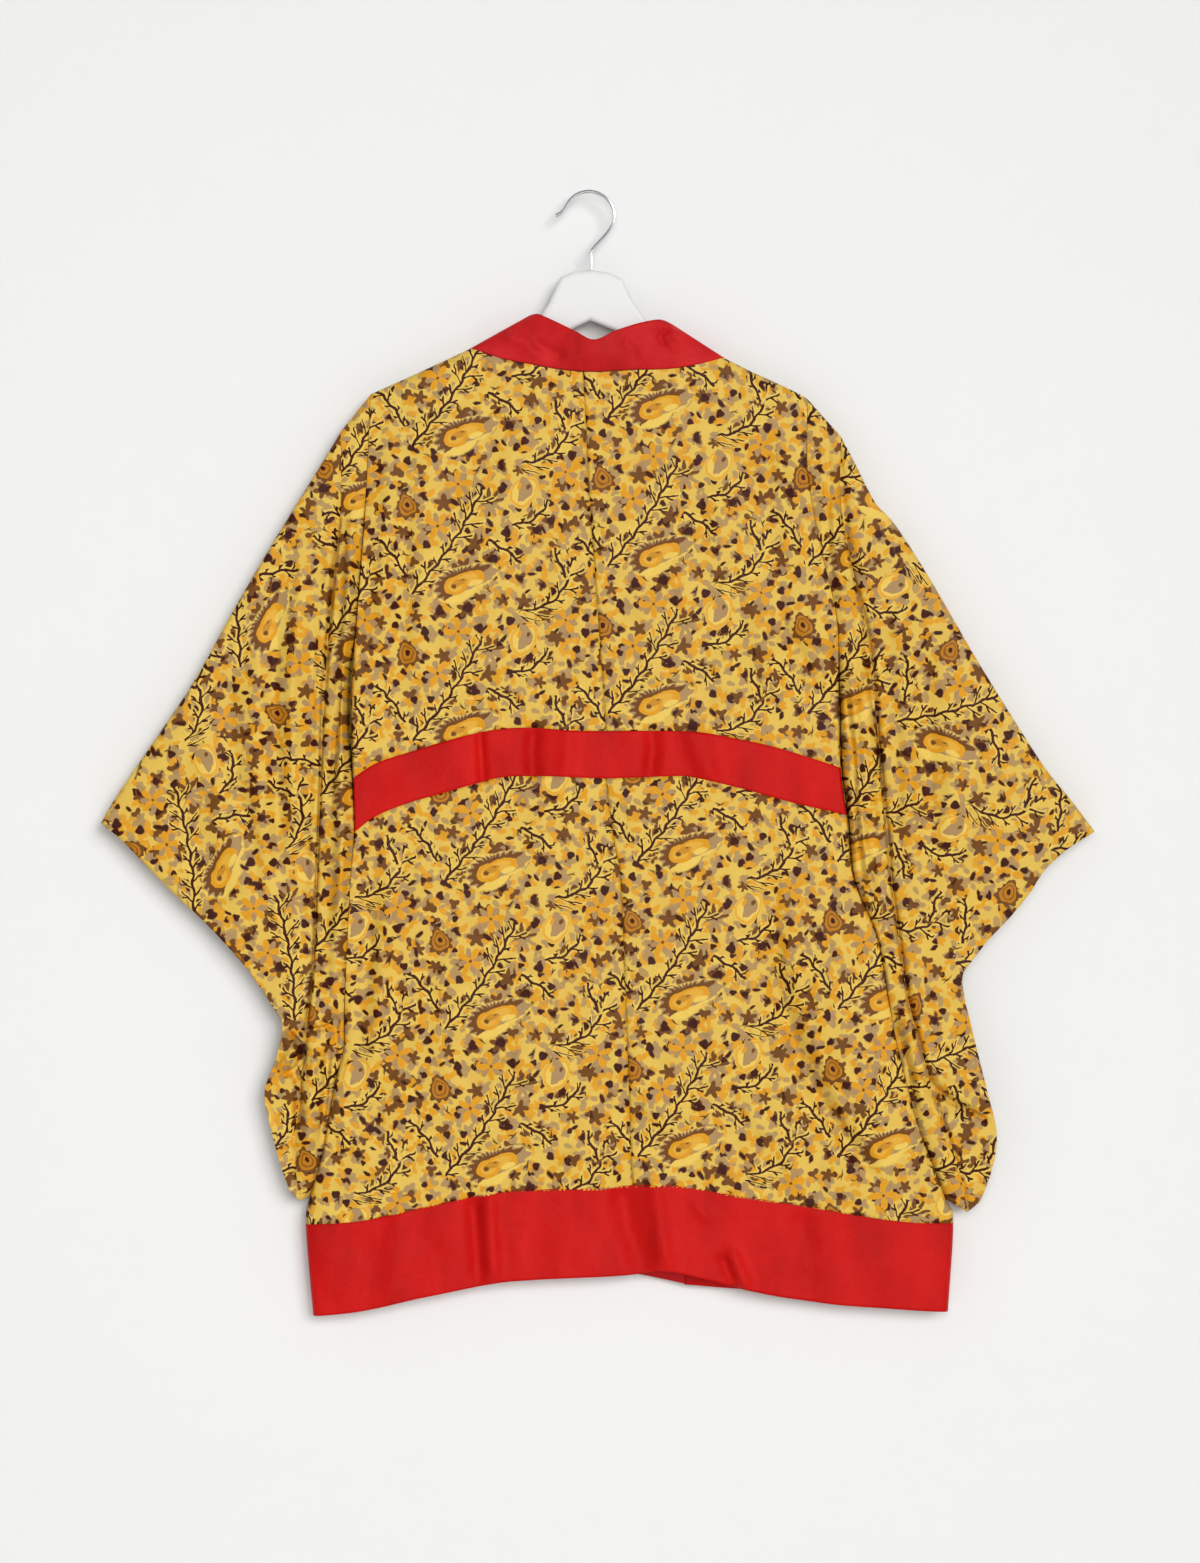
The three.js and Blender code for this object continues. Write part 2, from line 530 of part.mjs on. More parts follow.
function collarBack() {
  const sewn = (share) => {
    const x = THREE.MathUtils.lerp(NECK_LEFT[0] + COLLAR_GAP, NECK_RIGHT[0] - COLLAR_GAP, share);
    const z = heightAt(NECK_SEAM, x);
    return new THREE.Vector3(x, backDepth(x, z, shoulderTurn(x, 0)) - SEAM_GAP, z + HALF_GAP);
  };
  const free = curveThrough(COLLAR_BACK_ROWS.map((row) => row.free));
  const swell = (share) => alongRows(COLLAR_BACK_ROWS.map((row) => row.swell), share);
  const along = [
    ...COLLAR_END_STEPS,
    ...evenSteps(26).slice(2, -2),
    ...COLLAR_END_STEPS.map((share) => 1 - share).reverse()];
  return collarStretch(sewn, free, swell, along, -1);
}
addPiece("collar_back", collarBack(), red);

const COLLAR_WIDTH = 49;
const COLLAR_SETTLE = 34;
const COLLAR_PROUD = 2.5;
const COLLAR_SIDE_DROP = 92;
const COLLAR_SWELL = 2;
const COLLAR_SWELL_REACH = 30;
const COLLAR_RIDGE_HALF = 0.6;
const COLLAR_CROWDING = 1.4;
const COLLAR_SIDE_STEPS = 8;
const COLLAR_FRONT_STEPS = 14;
function collarBeside(isLeft, upper) {
  const frontEdge = isLeft ? FRONT_EDGE_LEFT : FRONT_EDGE_RIGHT;
  const inward = isLeft ? 1 : -1;
  const ridge = (isLeft ? COLLAR_BACK_ROWS[0] : lastOf(COLLAR_BACK_ROWS)).free;
  const [fromZ, toZ] = [frontEdge[0][1] + COLLAR_GAP, lastOf(frontEdge)[1]];
  const edgePoint = (z) => {
    const x = lineXAt(frontEdge, z) + inward * (SEAM_GAP + HALF_GAP);
    const turn = Math.max(turned(fromZ - z), COLLAR_RIDGE_HALF / HALF_DEPTH);
    return new THREE.Vector3(x, frontDepth(x, z, turn) + SEAM_GAP, z);
  };
  const splitZ = fromZ - COLLAR_SIDE_DROP;
  const zAt = (share) => (upper
    ? THREE.MathUtils.lerp(fromZ, splitZ, share ** COLLAR_CROWDING)
    : THREE.MathUtils.lerp(splitZ - SEAM_GAP, toZ, share));
  const sewn = (share) => edgePoint(zAt(share));
  const free = (share) => {
    const point = sewn(share);
    const rise = Math.exp(-(fromZ - point.z) / COLLAR_SETTLE);
    const level = THREE.MathUtils.lerp(point.z, ridge[2] + (point.z - fromZ), rise);
    const turn = turned(fromZ - point.z);
    return new THREE.Vector3(
      THREE.MathUtils.lerp(point.x + inward * COLLAR_WIDTH, ridge[0], rise),
      THREE.MathUtils.lerp(COLLAR_RIDGE_HALF, HALF_DEPTH + COLLAR_PROUD, turn), level);
  };
  const swell = (share) => COLLAR_SWELL * Math.min(1, (fromZ - zAt(share)) / COLLAR_SWELL_REACH);
  return collarStretch(sewn, free, swell, evenSteps(upper ? COLLAR_SIDE_STEPS : COLLAR_FRONT_STEPS), 1);
}
addPiece("collar_side_left", collarBeside(true, true), red);
addPiece("collar_side_right", collarBeside(false, true), red);
addPiece("collar_front_left", collarBeside(true, false), red);
addPiece("collar_front_right", collarBeside(false, false), red);

// Sleeves: each is cut in one, folded along its top and closed at its foot, open at armhole and cuff.
// A row holds the height of its place on the armhole seam, and its [x, z] on the deep fold and the cuff.
const SLEEVE_LEFT = {
  side: SIDE_LEFT,
  outward: -1,
  topEdge: [
    [-236, -226], [-259, -264], [-296, -324], [-336, -392], [-378, -467], [-430, -544], [-452, -577],
    [-464, -598]],
  rows: [
    { seamZ: -191, fold: [-236, -226], cuff: [-464, -598] },
    { seamZ: -264, fold: [-236, -296], cuff: [-443, -615] },
    { seamZ: -337, fold: [-243, -365], cuff: [-416, -643] },
    { seamZ: -410, fold: [-249, -432], cuff: [-391, -668] },
    { seamZ: -483, fold: [-254, -500], cuff: [-368, -689] },
    { seamZ: -556, fold: [-256, -566], cuff: [-343, -715] },
    { seamZ: -607, fold: [-258, -617], cuff: [-325, -736] },
    { seamZ: -655, fold: [-260, -666], cuff: [-312, -754] },
    { seamZ: -712, fold: [-262, -722], cuff: [-301, -771] },
    { seamZ: -776, fold: [-268, -786], cuff: [-291, -789] },
    { seamZ: -812, fold: [-271, -820], cuff: [-297, -820] },
    { seamZ: -848, fold: [-276, -856], cuff: [-308, -852] },
    { seamZ: -884, fold: [-279, -888], cuff: [-304, -880] },
    { seamZ: -920, fold: [-279, -922], cuff: [-292, -925] },
    { seamZ: -953, fold: [-275, -957], cuff: [-282, -951] },
  ],
  backCreases: [
    { line: [[-221, -300], [-232, -450], [-235, -540], [-234, -640], [-241, -760]], wide: 7, high: 14 },
    { line: [[-243, -400], [-249, -500], [-250, -600], [-254, -700]], wide: 5, high: 8 },
    { line: [[-236, -330], [-248, -400], [-256, -480], [-259, -590], [-263, -720]], wide: 4, high: -5 },
    { line: [[-285, -340], [-300, -470], [-295, -620]], wide: 20, high: 5 },
    { line: [[-370, -500], [-345, -600], [-315, -700]], wide: 16, high: 4 },
    { line: [[-284, -800], [-299, -824], [-288, -836]], wide: 6, high: 5 },
    { line: [[-273, -820], [-277, -870], [-277, -930]], wide: 5, high: 5 },
  ],
  frontCreases: [
    { line: [[-232, -320], [-246, -480], [-250, -640], [-256, -750]], wide: 11, high: 8 },
    { line: [[-300, -380], [-312, -500], [-305, -640]], wide: 18, high: 4 },
    { line: [[-390, -530], [-360, -620], [-330, -700]], wide: 15, high: 3 },
  ],
};
const SLEEVE_RIGHT = {
  side: SIDE_RIGHT,
  outward: 1,
  topEdge: [
    [238, -231], [250, -254], [270, -293], [294, -321], [323, -367], [372, -451], [428, -540],
    [454, -573], [479, -606]],
  rows: [
    { seamZ: -195, fold: [238, -231], cuff: [479, -606] },
    { seamZ: -265, fold: [238, -295], cuff: [455, -621] },
    { seamZ: -335, fold: [248, -352], cuff: [432, -641] },
    { seamZ: -405, fold: [262, -412], cuff: [416, -665] },
    { seamZ: -475, fold: [269, -474], cuff: [399, -686] },
    { seamZ: -546, fold: [276, -540], cuff: [379, -707] },
    { seamZ: -591, fold: [281, -592], cuff: [370, -718] },
    { seamZ: -650, fold: [286, -650], cuff: [360, -731] },
    { seamZ: -705, fold: [293, -706], cuff: [353, -742] },
    { seamZ: -765, fold: [302, -765], cuff: [354, -760] },
    { seamZ: -805, fold: [312, -805], cuff: [362, -795] },
    { seamZ: -850, fold: [325, -850], cuff: [375, -848] },
    { seamZ: -890, fold: [338, -890], cuff: [385, -892] },
    { seamZ: -926, fold: [350, -928], cuff: [380, -928] },
    { seamZ: -956, fold: [358, -968], cuff: [368, -960] },
  ],
  backCreases: [
    { line: [[224, -260], [232, -340], [243, -400]], wide: 6, high: 6 },
    { line: [[243, -430], [247, -540], [254, -620], [264, -690], [284, -750]], wide: 8, high: 13 },
    { line: [[262, -480], [269, -580], [275, -660]], wide: 5, high: 6 },
    { line: [[256, -370], [267, -440], [274, -520], [282, -620], [287, -720]], wide: 5, high: -5 },
    { line: [[300, -400], [320, -520], [322, -650]], wide: 20, high: 5 },
    { line: [[385, -510], [372, -600], [352, -690]], wide: 16, high: 4 },
    { line: [[318, -838], [336, -852], [362, -874]], wide: 6, high: 5 },
  ],
  frontCreases: [
    { line: [[240, -330], [254, -480], [262, -640], [276, -740]], wide: 11, high: 8 },
    { line: [[318, -400], [334, -520], [330, -640]], wide: 18, high: 4 },
    { line: [[410, -540], [388, -620], [366, -690]], wide: 15, high: 3 },
  ],
};
const SEAM_SHARE = 0.34;
const ARMHOLE_TURN = 6;
const SLEEVE_TURN_STEPS = [0.0025, 0.008, 0.02];
const SLEEVE_ACROSS = [
  0, 0.03, 0.07, 0.11, 0.15, 0.19, 0.23, 0.27, 0.305, 0.34, 0.38, 0.43, 0.49, 0.56, 0.64, 0.73, 0.82,
  0.91, 1];

// A smooth value between the rows of a table, for a share from the first row to the last.
function alongRows(values, share) {
  const place = THREE.MathUtils.clamp(share, 0, 1) * (values.length - 1);
  const first = Math.min(Math.floor(place), values.length - 2);
  const at = (index) => values[THREE.MathUtils.clamp(index, 0, values.length - 1)];
  const t = place - first;
  const [p0, p1, p2, p3] = [at(first - 1), at(first), at(first + 1), at(first + 2)];
  const curve = 2 * p0 - 5 * p1 + 4 * p2 - p3 + t * (3 * (p1 - p2) + p3 - p0);
  return p1 + 0.5 * t * (p2 - p0 + t * curve);
}
function straightRows(values, share) {
  const place = THREE.MathUtils.clamp(share, 0, 1) * (values.length - 1);
  const first = Math.min(Math.floor(place), values.length - 2);
  return THREE.MathUtils.lerp(values[first], values[first + 1], place - first);
}
function sleeve(cut) {
  const { side, outward, topEdge, rows, backCreases, frontCreases } = cut;
  const seamZ = rows.map((row) => row.seamZ);
  const seamAt = (down) => {
    const z = straightRows(seamZ, down);
    return new THREE.Vector3(lineXAt(side, z), 0, z);
  };
  const top = edge(topEdge);
  const column = (name, axis) => rows.map((row) => row[name][axis]);
  const [foldX, foldZ, cuffX, cuffZ] = [
    column("fold", 0), column("fold", 1), column("cuff", 0), column("cuff", 1)];
  const place = (across, down) => {
    const seam = seamAt(down);
    seam.x += outward * HALF_GAP;
    const fold = new THREE.Vector3(alongRows(foldX, down), 0, alongRows(foldZ, down));
    const cuff = new THREE.Vector3(alongRows(cuffX, down), 0, alongRows(cuffZ, down));
    if (across <= SEAM_SHARE) return seam.lerp(fold, across / SEAM_SHARE);
    const share = (across - SEAM_SHARE) / (1 - SEAM_SHARE);
    const straightTop = top(0).lerp(top(1), share);
    const bulge = top(share).sub(straightTop).multiplyScalar(Math.max(0, 1 - 3 * down));
    return fold.lerp(cuff, share).add(bulge);
  };
  const surface = (across, round) => {
    const turn = ((round % 1) + 1) % 1;
    const isBack = turn <= 0.5;
    const down = isBack ? 2 * turn : 2 - 2 * turn;
    const point = place(across, down);
    const seamX = seamAt(down).x;
    const length = place(across, 0).distanceTo(place(across, 1));
    const ends = turned(down * length) * turned((1 - down) * length);
    const seamHalf = HALF_DEPTH * THREE.MathUtils.lerp(1, SIDE_SHARE, drawnShare(point.z));
    const out = turned(Math.abs(point.x - seamX), ARMHOLE_TURN);
    const half = THREE.MathUtils.lerp(seamHalf, SLEEVE_HALF_DEPTH, out);
    const crease = creaseHeight(isBack ? backCreases : frontCreases, point.x, point.z) * out;
    point.y = (isBack ? -1 : 1) * Math.max(half + crease, LEAST_HALF_DEPTH) * ends;
    return point;
  };
  const levels = evenSteps(rows.length - 1);
  const down = [
    0, ...SLEEVE_TURN_STEPS, ...levels.slice(1, -1),
    ...SLEEVE_TURN_STEPS.map((share) => 1 - share).reverse(), 1];
  const round = [
    ...down.map((share) => share / 2),
    ...down.slice(1, -1).map((share) => 0.5 + share / 2)];
  return clothWall(surface, SLEEVE_ACROSS, round, CLOTH, outward * -1);
}
addPiece("sleeve_left", sleeve(SLEEVE_LEFT), printedSleeve);
addPiece("sleeve_right", sleeve(SLEEVE_RIGHT), printedSleeve);

// Hanger: a flat white body with rounded edges, and a notch under its middle.
function hangerBody() {
  const drop = HANGER_SINK;
  const armTop = (line) => line.map(([x, z]) => [x, z - drop]);
  const outline = [
    [-16, -75], [-28, -80], [-33, -91], [-39, -104], [-47, -117], [-58, -125],
    ...armTop([[-84, -137], NECK_LEFT, [-131, -156.3], [-170, -174], [-203, -188.5]]),
    [-210, -197], [-211, -204], [-205, -209], [-114, -172], [-50, -143], [-19, -131],
    [0, -121.5], [23, -131], [58, -146], [128, -178], [202, -212], [209, -208], [210, -202],
    ...armTop([[201, -193], [174, -179], [154, -170], NECK_RIGHT, [104, -147.5]]),
    [70, -132], [54, -121], [44, -108], [36, -94], [31, -82], [20, -76], [2, -73.2]];
  const shape = new THREE.Shape(outline.map(([x, z]) => new THREE.Vector2(x, z)));
  const inset = HANGER_ROUND;
  const geometry = new THREE.ExtrudeGeometry(shape, {
    depth: HANGER_DEPTH - 2 * inset, steps: 1, curveSegments: 4,
    bevelEnabled: true, bevelSize: inset, bevelOffset: -inset, bevelThickness: inset, bevelSegments: 3 });
  geometry.translate(0, 0, -(HANGER_DEPTH - 2 * inset) / 2);
  geometry.rotateX(Math.PI / 2);
  return geometry;
}
addPiece("hanger", hangerBody(), whitePaint);

// Hook: one bent wire, standing in the top of the hanger.
function hookWire() {
  const centre = new THREE.Vector2(-1, WIRE / 2 - HOOK_RADIUS);
  const foot = [[1, -72.7], [1, -64], [1.5, -55], [8, -47], [15, -39.5], [20.5, -31.5]];
  const round = evenSteps(12).map((share) => {
    const angle = THREE.MathUtils.degToRad(-6 + share * 156);
    return [centre.x + HOOK_RADIUS * Math.cos(angle), centre.y + HOOK_RADIUS * Math.sin(angle)];
  });
  const tip = [[-25.5, -16.5], [-29, -19.5], [-32.5, -21]];
  const path = new THREE.CatmullRomCurve3(
    [...foot, ...round, ...tip].map(([x, z]) => new THREE.Vector3(x, 0, z)), false, "centripetal");
  const section = new THREE.Shape(evenSteps(10).slice(0, -1).map((share) => {
    const angle = share * 2 * Math.PI;
    return new THREE.Vector2(WIRE / 2 * Math.cos(angle), WIRE / 2 * Math.sin(angle));
  }));
  return new THREE.ExtrudeGeometry(section, { steps: 44, bevelEnabled: false, extrudePath: path });
}
addPiece("hook", hookWire(), chrome);

export default garment;
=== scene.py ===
import functools
import math

import bmesh
import bpy
import numpy as np
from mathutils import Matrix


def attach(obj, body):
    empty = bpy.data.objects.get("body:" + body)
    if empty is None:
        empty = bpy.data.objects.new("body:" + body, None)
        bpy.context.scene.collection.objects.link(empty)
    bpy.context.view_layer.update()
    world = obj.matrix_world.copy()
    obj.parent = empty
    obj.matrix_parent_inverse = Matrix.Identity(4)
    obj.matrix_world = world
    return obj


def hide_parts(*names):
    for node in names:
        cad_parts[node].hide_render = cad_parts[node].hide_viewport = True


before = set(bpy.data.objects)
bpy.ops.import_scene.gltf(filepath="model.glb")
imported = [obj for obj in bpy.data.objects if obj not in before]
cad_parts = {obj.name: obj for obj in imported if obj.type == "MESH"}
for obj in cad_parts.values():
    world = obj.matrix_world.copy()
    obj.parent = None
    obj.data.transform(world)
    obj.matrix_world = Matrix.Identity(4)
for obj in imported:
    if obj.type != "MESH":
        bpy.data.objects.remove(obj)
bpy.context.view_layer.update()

# Studio: the jacket hangs on a plain pale wall above a pale floor. A large lamp box beside the camera and
# a weak window on the left fill the shade, and a wide softened panel on the right is the main light.
# The camera looks straight at the back of the jacket from three metres away.
WALL_Y = 0.0215
FLOOR_Z = -1.60
CAMERA_Y = -3.0
VIEW_CENTRE = (0.0095, -0.559)
VIEW_HEIGHT = 1.485
SENSOR_HEIGHT = 24
bpy.context.scene.view_settings.view_transform = "Standard"


def new_material(name):
    material = bpy.data.materials.new(name)
    material.use_nodes = True
    return material, material.node_tree.nodes["Principled BSDF"]


def placed(name, data):
    """A new object in the scene, at the origin."""
    piece = bpy.data.objects.new(name, data)
    bpy.context.collection.objects.link(piece)
    return piece


def plain_paint(name, colour, roughness):
    """An even paint with a faint mottle, a little darker in places."""
    paint, shader = new_material(name)
    nodes, links = paint.node_tree.nodes, paint.node_tree.links
    shader.inputs["Roughness"].default_value = roughness
    place = nodes.new("ShaderNodeTexCoord")
    mottle = nodes.new("ShaderNodeTexNoise")
    mottle.inputs["Scale"].default_value = 2.0
    ramp = nodes.new("ShaderNodeValToRGB")
    ramp.color_ramp.elements[0].color = (*[c * 0.985 for c in colour], 1)
    ramp.color_ramp.elements[1].color = (*colour, 1)
    links.new(place.outputs["Object"], mottle.inputs["Vector"])
    links.new(mottle.outputs["Fac"], ramp.inputs["Fac"])
    links.new(ramp.outputs["Color"], shader.inputs["Base Color"])
    return paint


def flat_board(name, corners, paint):
    board = bmesh.new()
    bmesh.ops.create_grid(board, x_segments=1, y_segments=1, size=1)
    for vertex in board.verts:
        vertex.co = corners(vertex.co.x, vertex.co.y)
    mesh = bpy.data.meshes.new(name)
    board.to_mesh(mesh)
    board.free()
    mesh.materials.append(paint)
    placed(name, mesh)


wall_paint = plain_paint("wall_paint", (0.84, 0.84, 0.828), 0.9)
flat_board("wall", lambda x, y: (x * 6, WALL_Y, FLOOR_Z + 2.5 + y * 2.5), wall_paint)
flat_board("floor", lambda x, y: (x * 6, WALL_Y - 3 + y * 3, FLOOR_Z), wall_paint)


def soft_window(name, place, aim, size, power, tint):
    window = bpy.data.lights.new(name, "AREA")
    window.shape = "RECTANGLE"
    window.size, window.size_y = size
    window.energy = power
    window.color = tint
    piece = placed(name, window)
    piece.location = place
    away = [a - b for a, b in zip(place, aim)]
    turn = math.atan2(away[0], -away[1])
    drop = math.atan2(math.hypot(away[0], away[1]), away[2])
    piece.rotation_euler = (drop, 0, turn)


JACKET_MIDDLE = (0, 0, -0.55)
soft_window("lamp_box", (0.2, -3.2, -0.1), JACKET_MIDDLE, (1.3, 1.3), 41, (1.0, 1.0, 1.0))
soft_window("window_left", (-2.4, -2.2, 0.6), JACKET_MIDDLE, (1.8, 1.8), 6, (1.0, 0.995, 0.985))

# The main light falls evenly from above and a little from the right, as from a wide softened panel far away.
panel = bpy.data.lights.new("panel_right", "SUN")
panel.energy = 1.30
panel.angle = math.radians(26)
placed("panel_right", panel).rotation_euler = (math.radians(75), 0, math.radians(25))

world = bpy.data.worlds.new("studio_air")
bpy.context.scene.world = world
world.use_nodes = True
sky = world.node_tree.nodes["Background"]
sky.inputs["Color"].default_value = (1.0, 1.0, 1.0, 1)
sky.inputs["Strength"].default_value = 0.17

lens = bpy.data.cameras.new("camera")
lens.sensor_fit = "VERTICAL"
lens.sensor_height = SENSOR_HEIGHT
lens.lens = SENSOR_HEIGHT * abs(CAMERA_Y) / VIEW_HEIGHT
camera = placed("camera", lens)
camera.location = (VIEW_CENTRE[0], CAMERA_Y, VIEW_CENTRE[1])
camera.rotation_euler = (math.pi / 2, 0, 0)
bpy.context.scene.camera = camera

# Hanger: a flat body with rounded edges, in smooth white lacquer, and its bent wire hook, plated bright.
# The hook stands in the top of the body and carries everything.
lacquer = plain_paint("white_lacquer", (0.775, 0.775, 0.755), 0.4)
lacquer.node_tree.nodes["Principled BSDF"].inputs["Specular IOR Level"].default_value = 0.2
plating, plate = new_material("bright_plating")
plate.inputs["Metallic"].default_value = 1.0
plate_noise = plating.node_tree.nodes.new("ShaderNodeTexNoise")
plate_noise.inputs["Scale"].default_value = 300
plate_place = plating.node_tree.nodes.new("ShaderNodeTexCoord")
plate_shine = plating.node_tree.nodes.new("ShaderNodeMapRange")
plate_shine.inputs["To Min"].default_value = 0.20
plate_shine.inputs["To Max"].default_value = 0.30
plate.inputs["Base Color"].default_value = (0.78, 0.79, 0.81, 1)
plating.node_tree.links.new(plate_place.outputs["Object"], plate_noise.inputs["Vector"])
plating.node_tree.links.new(plate_noise.outputs["Fac"], plate_shine.inputs["Value"])
plating.node_tree.links.new(plate_shine.outputs["Result"], plate.inputs["Roughness"])
for node, finish in (("hanger", lacquer), ("hook", plating)):
    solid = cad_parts[node]
    for place in solid.material_slots:
        place.material = finish
    if not solid.material_slots:
        solid.data.materials.append(finish)

# Printed cloth: light satin-like cloth with a small all-over print of sprigs, leaves, stars and paisleys.
# The larger motifs are charted on a repeat of 190 by 140 mm, and small ones are strewn between them.
REPEAT = (190.0, 140.0)
# The share of full cover by which a motif's ink fades for each millimetre at its edge.
EDGE = 1.3
FULL_TURN = 6.283
GROUND = (0.640, 0.400, 0.062)
GROUND_PALE = (0.790, 0.540, 0.100)
ORANGE = (0.700, 0.310, 0.012)
ORANGE_DEEP = (0.470, 0.180, 0.008)
TAUPE = (0.400, 0.245, 0.100)
BROWN = (0.160, 0.058, 0.010)
DARK = (0.050, 0.008, 0.003)


class Figure:
    """A value on the print's chart. Figures are reckoned with plain arithmetic."""

    def __init__(self, chart, socket):
        self.chart, self.socket = chart, socket

    def __add__(self, other):
        return self.chart.reckon("ADD", self, other)

    __radd__ = __add__

    def __sub__(self, other):
        return self.chart.reckon("SUBTRACT", self, other)

    def __rsub__(self, other):
        return self.chart.reckon("SUBTRACT", other, self)

    def __mul__(self, other):
        return self.chart.reckon("MULTIPLY", self, other)

    __rmul__ = __mul__

    def __truediv__(self, other):
        return self.chart.reckon("DIVIDE", self, other)

    def __gt__(self, other):
        return self.chart.reckon("GREATER_THAN", self, other)

    def __lt__(self, other):
        return self.chart.reckon("LESS_THAN", self, other)

    def __abs__(self):
        return self.chart.reckon("ABSOLUTE", self)


class Chart:
    """One cloth's material: its nodes, its place on the cut in millimetres, and the colour printed so far."""

    def __init__(self, name, ground=None):
        self.cloth, self.shader = new_material(name)
        self.tree = self.cloth.node_tree
        self.colour = ground
        cut = self.node("ShaderNodeUVMap", uv_map="cut")
        self.millimetres = self.arrow("MULTIPLY", cut.outputs[0], [1000, 1000, 0])

    def node(self, kind, inputs=(), **settings):
        made = self.tree.nodes.new(kind)
        for name, value in settings.items():
            setattr(made, name, value)
        for name, value in dict(inputs).items():
            self.feed(made.inputs[name], value)
        return made

    def feed(self, socket, value):
        if isinstance(value, Figure):
            value = value.socket
        if isinstance(value, bpy.types.NodeSocket):
            self.tree.links.new(value, socket)
        else:
            socket.default_value = value

    def reckon(self, operation, *values, kept=False):
        """One sum. A kept sum stays between 0 and 1, as a share of cover does."""
        made = self.node("ShaderNodeMath", operation=operation, use_clamp=kept)
        for socket, value in zip(made.inputs, values):
            self.feed(socket, value)
        return Figure(self, made.outputs[0])

    def arrow(self, operation, *values):
        made = self.node("ShaderNodeVectorMath", operation=operation)
        for socket, value in zip(made.inputs, values):
            self.feed(socket, value)
        return made.outputs["Value" if operation == "LENGTH" else "Vector"]

    def noise(self, place, scale, detail):
        made = self.node("ShaderNodeTexNoise", {"Vector": place, "Scale": scale, "Detail": detail})
        return Figure(self, made.outputs["Fac"])

    def threads(self, direction, scale, distortion=0.0):
        made = self.node("ShaderNodeTexWave", {
            "Vector": self.millimetres, "Scale": scale, "Distortion": distortion}, bands_direction=direction)
        return Figure(self, made.outputs["Fac"])

    def emboss(self, relief, distance):
        bump = self.node("ShaderNodeBump", {"Height": relief, "Strength": 0.5, "Distance": distance})
        self.feed(self.shader.inputs["Normal"], bump.outputs[0])

    def length(self, vector):
        return Figure(self, self.arrow("LENGTH", vector))

    def parts(self, vector):
        made = self.node("ShaderNodeSeparateXYZ", {"Vector": vector})
        return [Figure(self, socket) for socket in made.outputs]

    def point(self, x, y, z=0.0):
        return self.node("ShaderNodeCombineXYZ", {"X": x, "Y": y, "Z": z}).outputs[0]

    def moved(self, local, x, y):
        return self.arrow("SUBTRACT", local, [x, y, 0])

    def turned(self, vector, angle):
        inputs = {"Vector": vector, "Angle": angle}
        return self.node("ShaderNodeVectorRotate", inputs, rotation_type="Z_AXIS").outputs[0]

    def either(self, is_second, first, second):
        made = self.node("ShaderNodeMix", {"Factor": is_second}, data_type="VECTOR")
        self.feed(made.inputs[4], first)
        self.feed(made.inputs[5], second)
        return made.outputs[1]

    def within(self, place, centre, degrees):
        """The place measured from a motif's centre, along and across the motif, in every repeat."""
        low = [c - s / 2 for c, s in zip(centre, REPEAT)] + [-1]
        high = [c + s / 2 for c, s in zip(centre, REPEAT)] + [1]
        wrapped = self.arrow("WRAP", place, high, low)
        return self.turned(self.moved(wrapped, *centre), math.radians(-degrees))

    def strewn(self, place, pitch, degrees, stray, seed):
        """Places measured from the middle of motifs in leaning, uneven rows, each turned its own way."""
        leaning = self.turned(self.arrow("MULTIPLY", place, [1 / pitch, 1 / pitch, 0]), math.radians(degrees))
        x, y, _ = self.parts(leaning)
        row = self.reckon("FLOOR", y)
        row_shift, least_size, growth = 0.381, 0.78, 0.085
        shifted = self.reckon("MULTIPLY_ADD", row, row_shift, x)
        column = self.reckon("FLOOR", shifted)
        luck = self.node("ShaderNodeTexWhiteNoise", {"Vector": self.point(column, row, seed)})
        astray = self.arrow("MULTIPLY", luck.outputs["Color"], [stray, stray, FULL_TURN])
        corner = self.point(shifted - column, y - row, 0.0)
        middle = (1 - stray) / 2
        local = self.arrow("SUBTRACT", self.arrow("SUBTRACT", corner, astray), [middle, middle, 0])
        turn = self.parts(astray)[2]
        spread = self.reckon("MULTIPLY_ADD", turn, growth * pitch, least_size * pitch)
        local = self.arrow("MULTIPLY", local, self.point(spread, spread))
        return self.turned(local, turn), Figure(self, luck.outputs["Value"])

    def smallest(self, *figures):
        return functools.reduce(lambda kept, figure: self.reckon("MINIMUM", kept, figure), figures)

    def largest(self, *figures):
        return functools.reduce(lambda kept, figure: self.reckon("MAXIMUM", kept, figure), figures)

    def ink(self, colour, cover):
        """Prints one colour over what is there, as far as the cover goes."""
        made = self.node("ShaderNodeMix", {"Factor": cover}, data_type="RGBA")
        self.feed(made.inputs[6], self.colour)
        self.feed(made.inputs[7], (*colour, 1))
        self.colour = made.outputs[2]

    def angle(self, local):
        x, y, _ = self.parts(local)
        return self.reckon("ARCTAN2", y, x)

    def lobes(self, local, radius, count, depth, phase=0.0):
        """The cover of a flower of so many petals, with soft edges."""
        wave = self.reckon("COSINE", self.reckon("MULTIPLY_ADD", self.angle(local), count, phase))
        reach = self.reckon("MULTIPLY_ADD", wave, EDGE * radius * depth, EDGE * radius * (1 - depth))
        return self.reckon("MULTIPLY_ADD", self.length(local), -EDGE, reach, kept=True)

    def from_oval(self, local, centre, half_long, half_wide):
        """How far out from an oval's middle a place is: 1 on its outline."""
        x, y = centre
        return self.length(self.arrow("MULTIPLY_ADD", local, [1 / half_long, 1 / half_wide, 0],
                                      [-x / half_long, -y / half_wide, 0]))

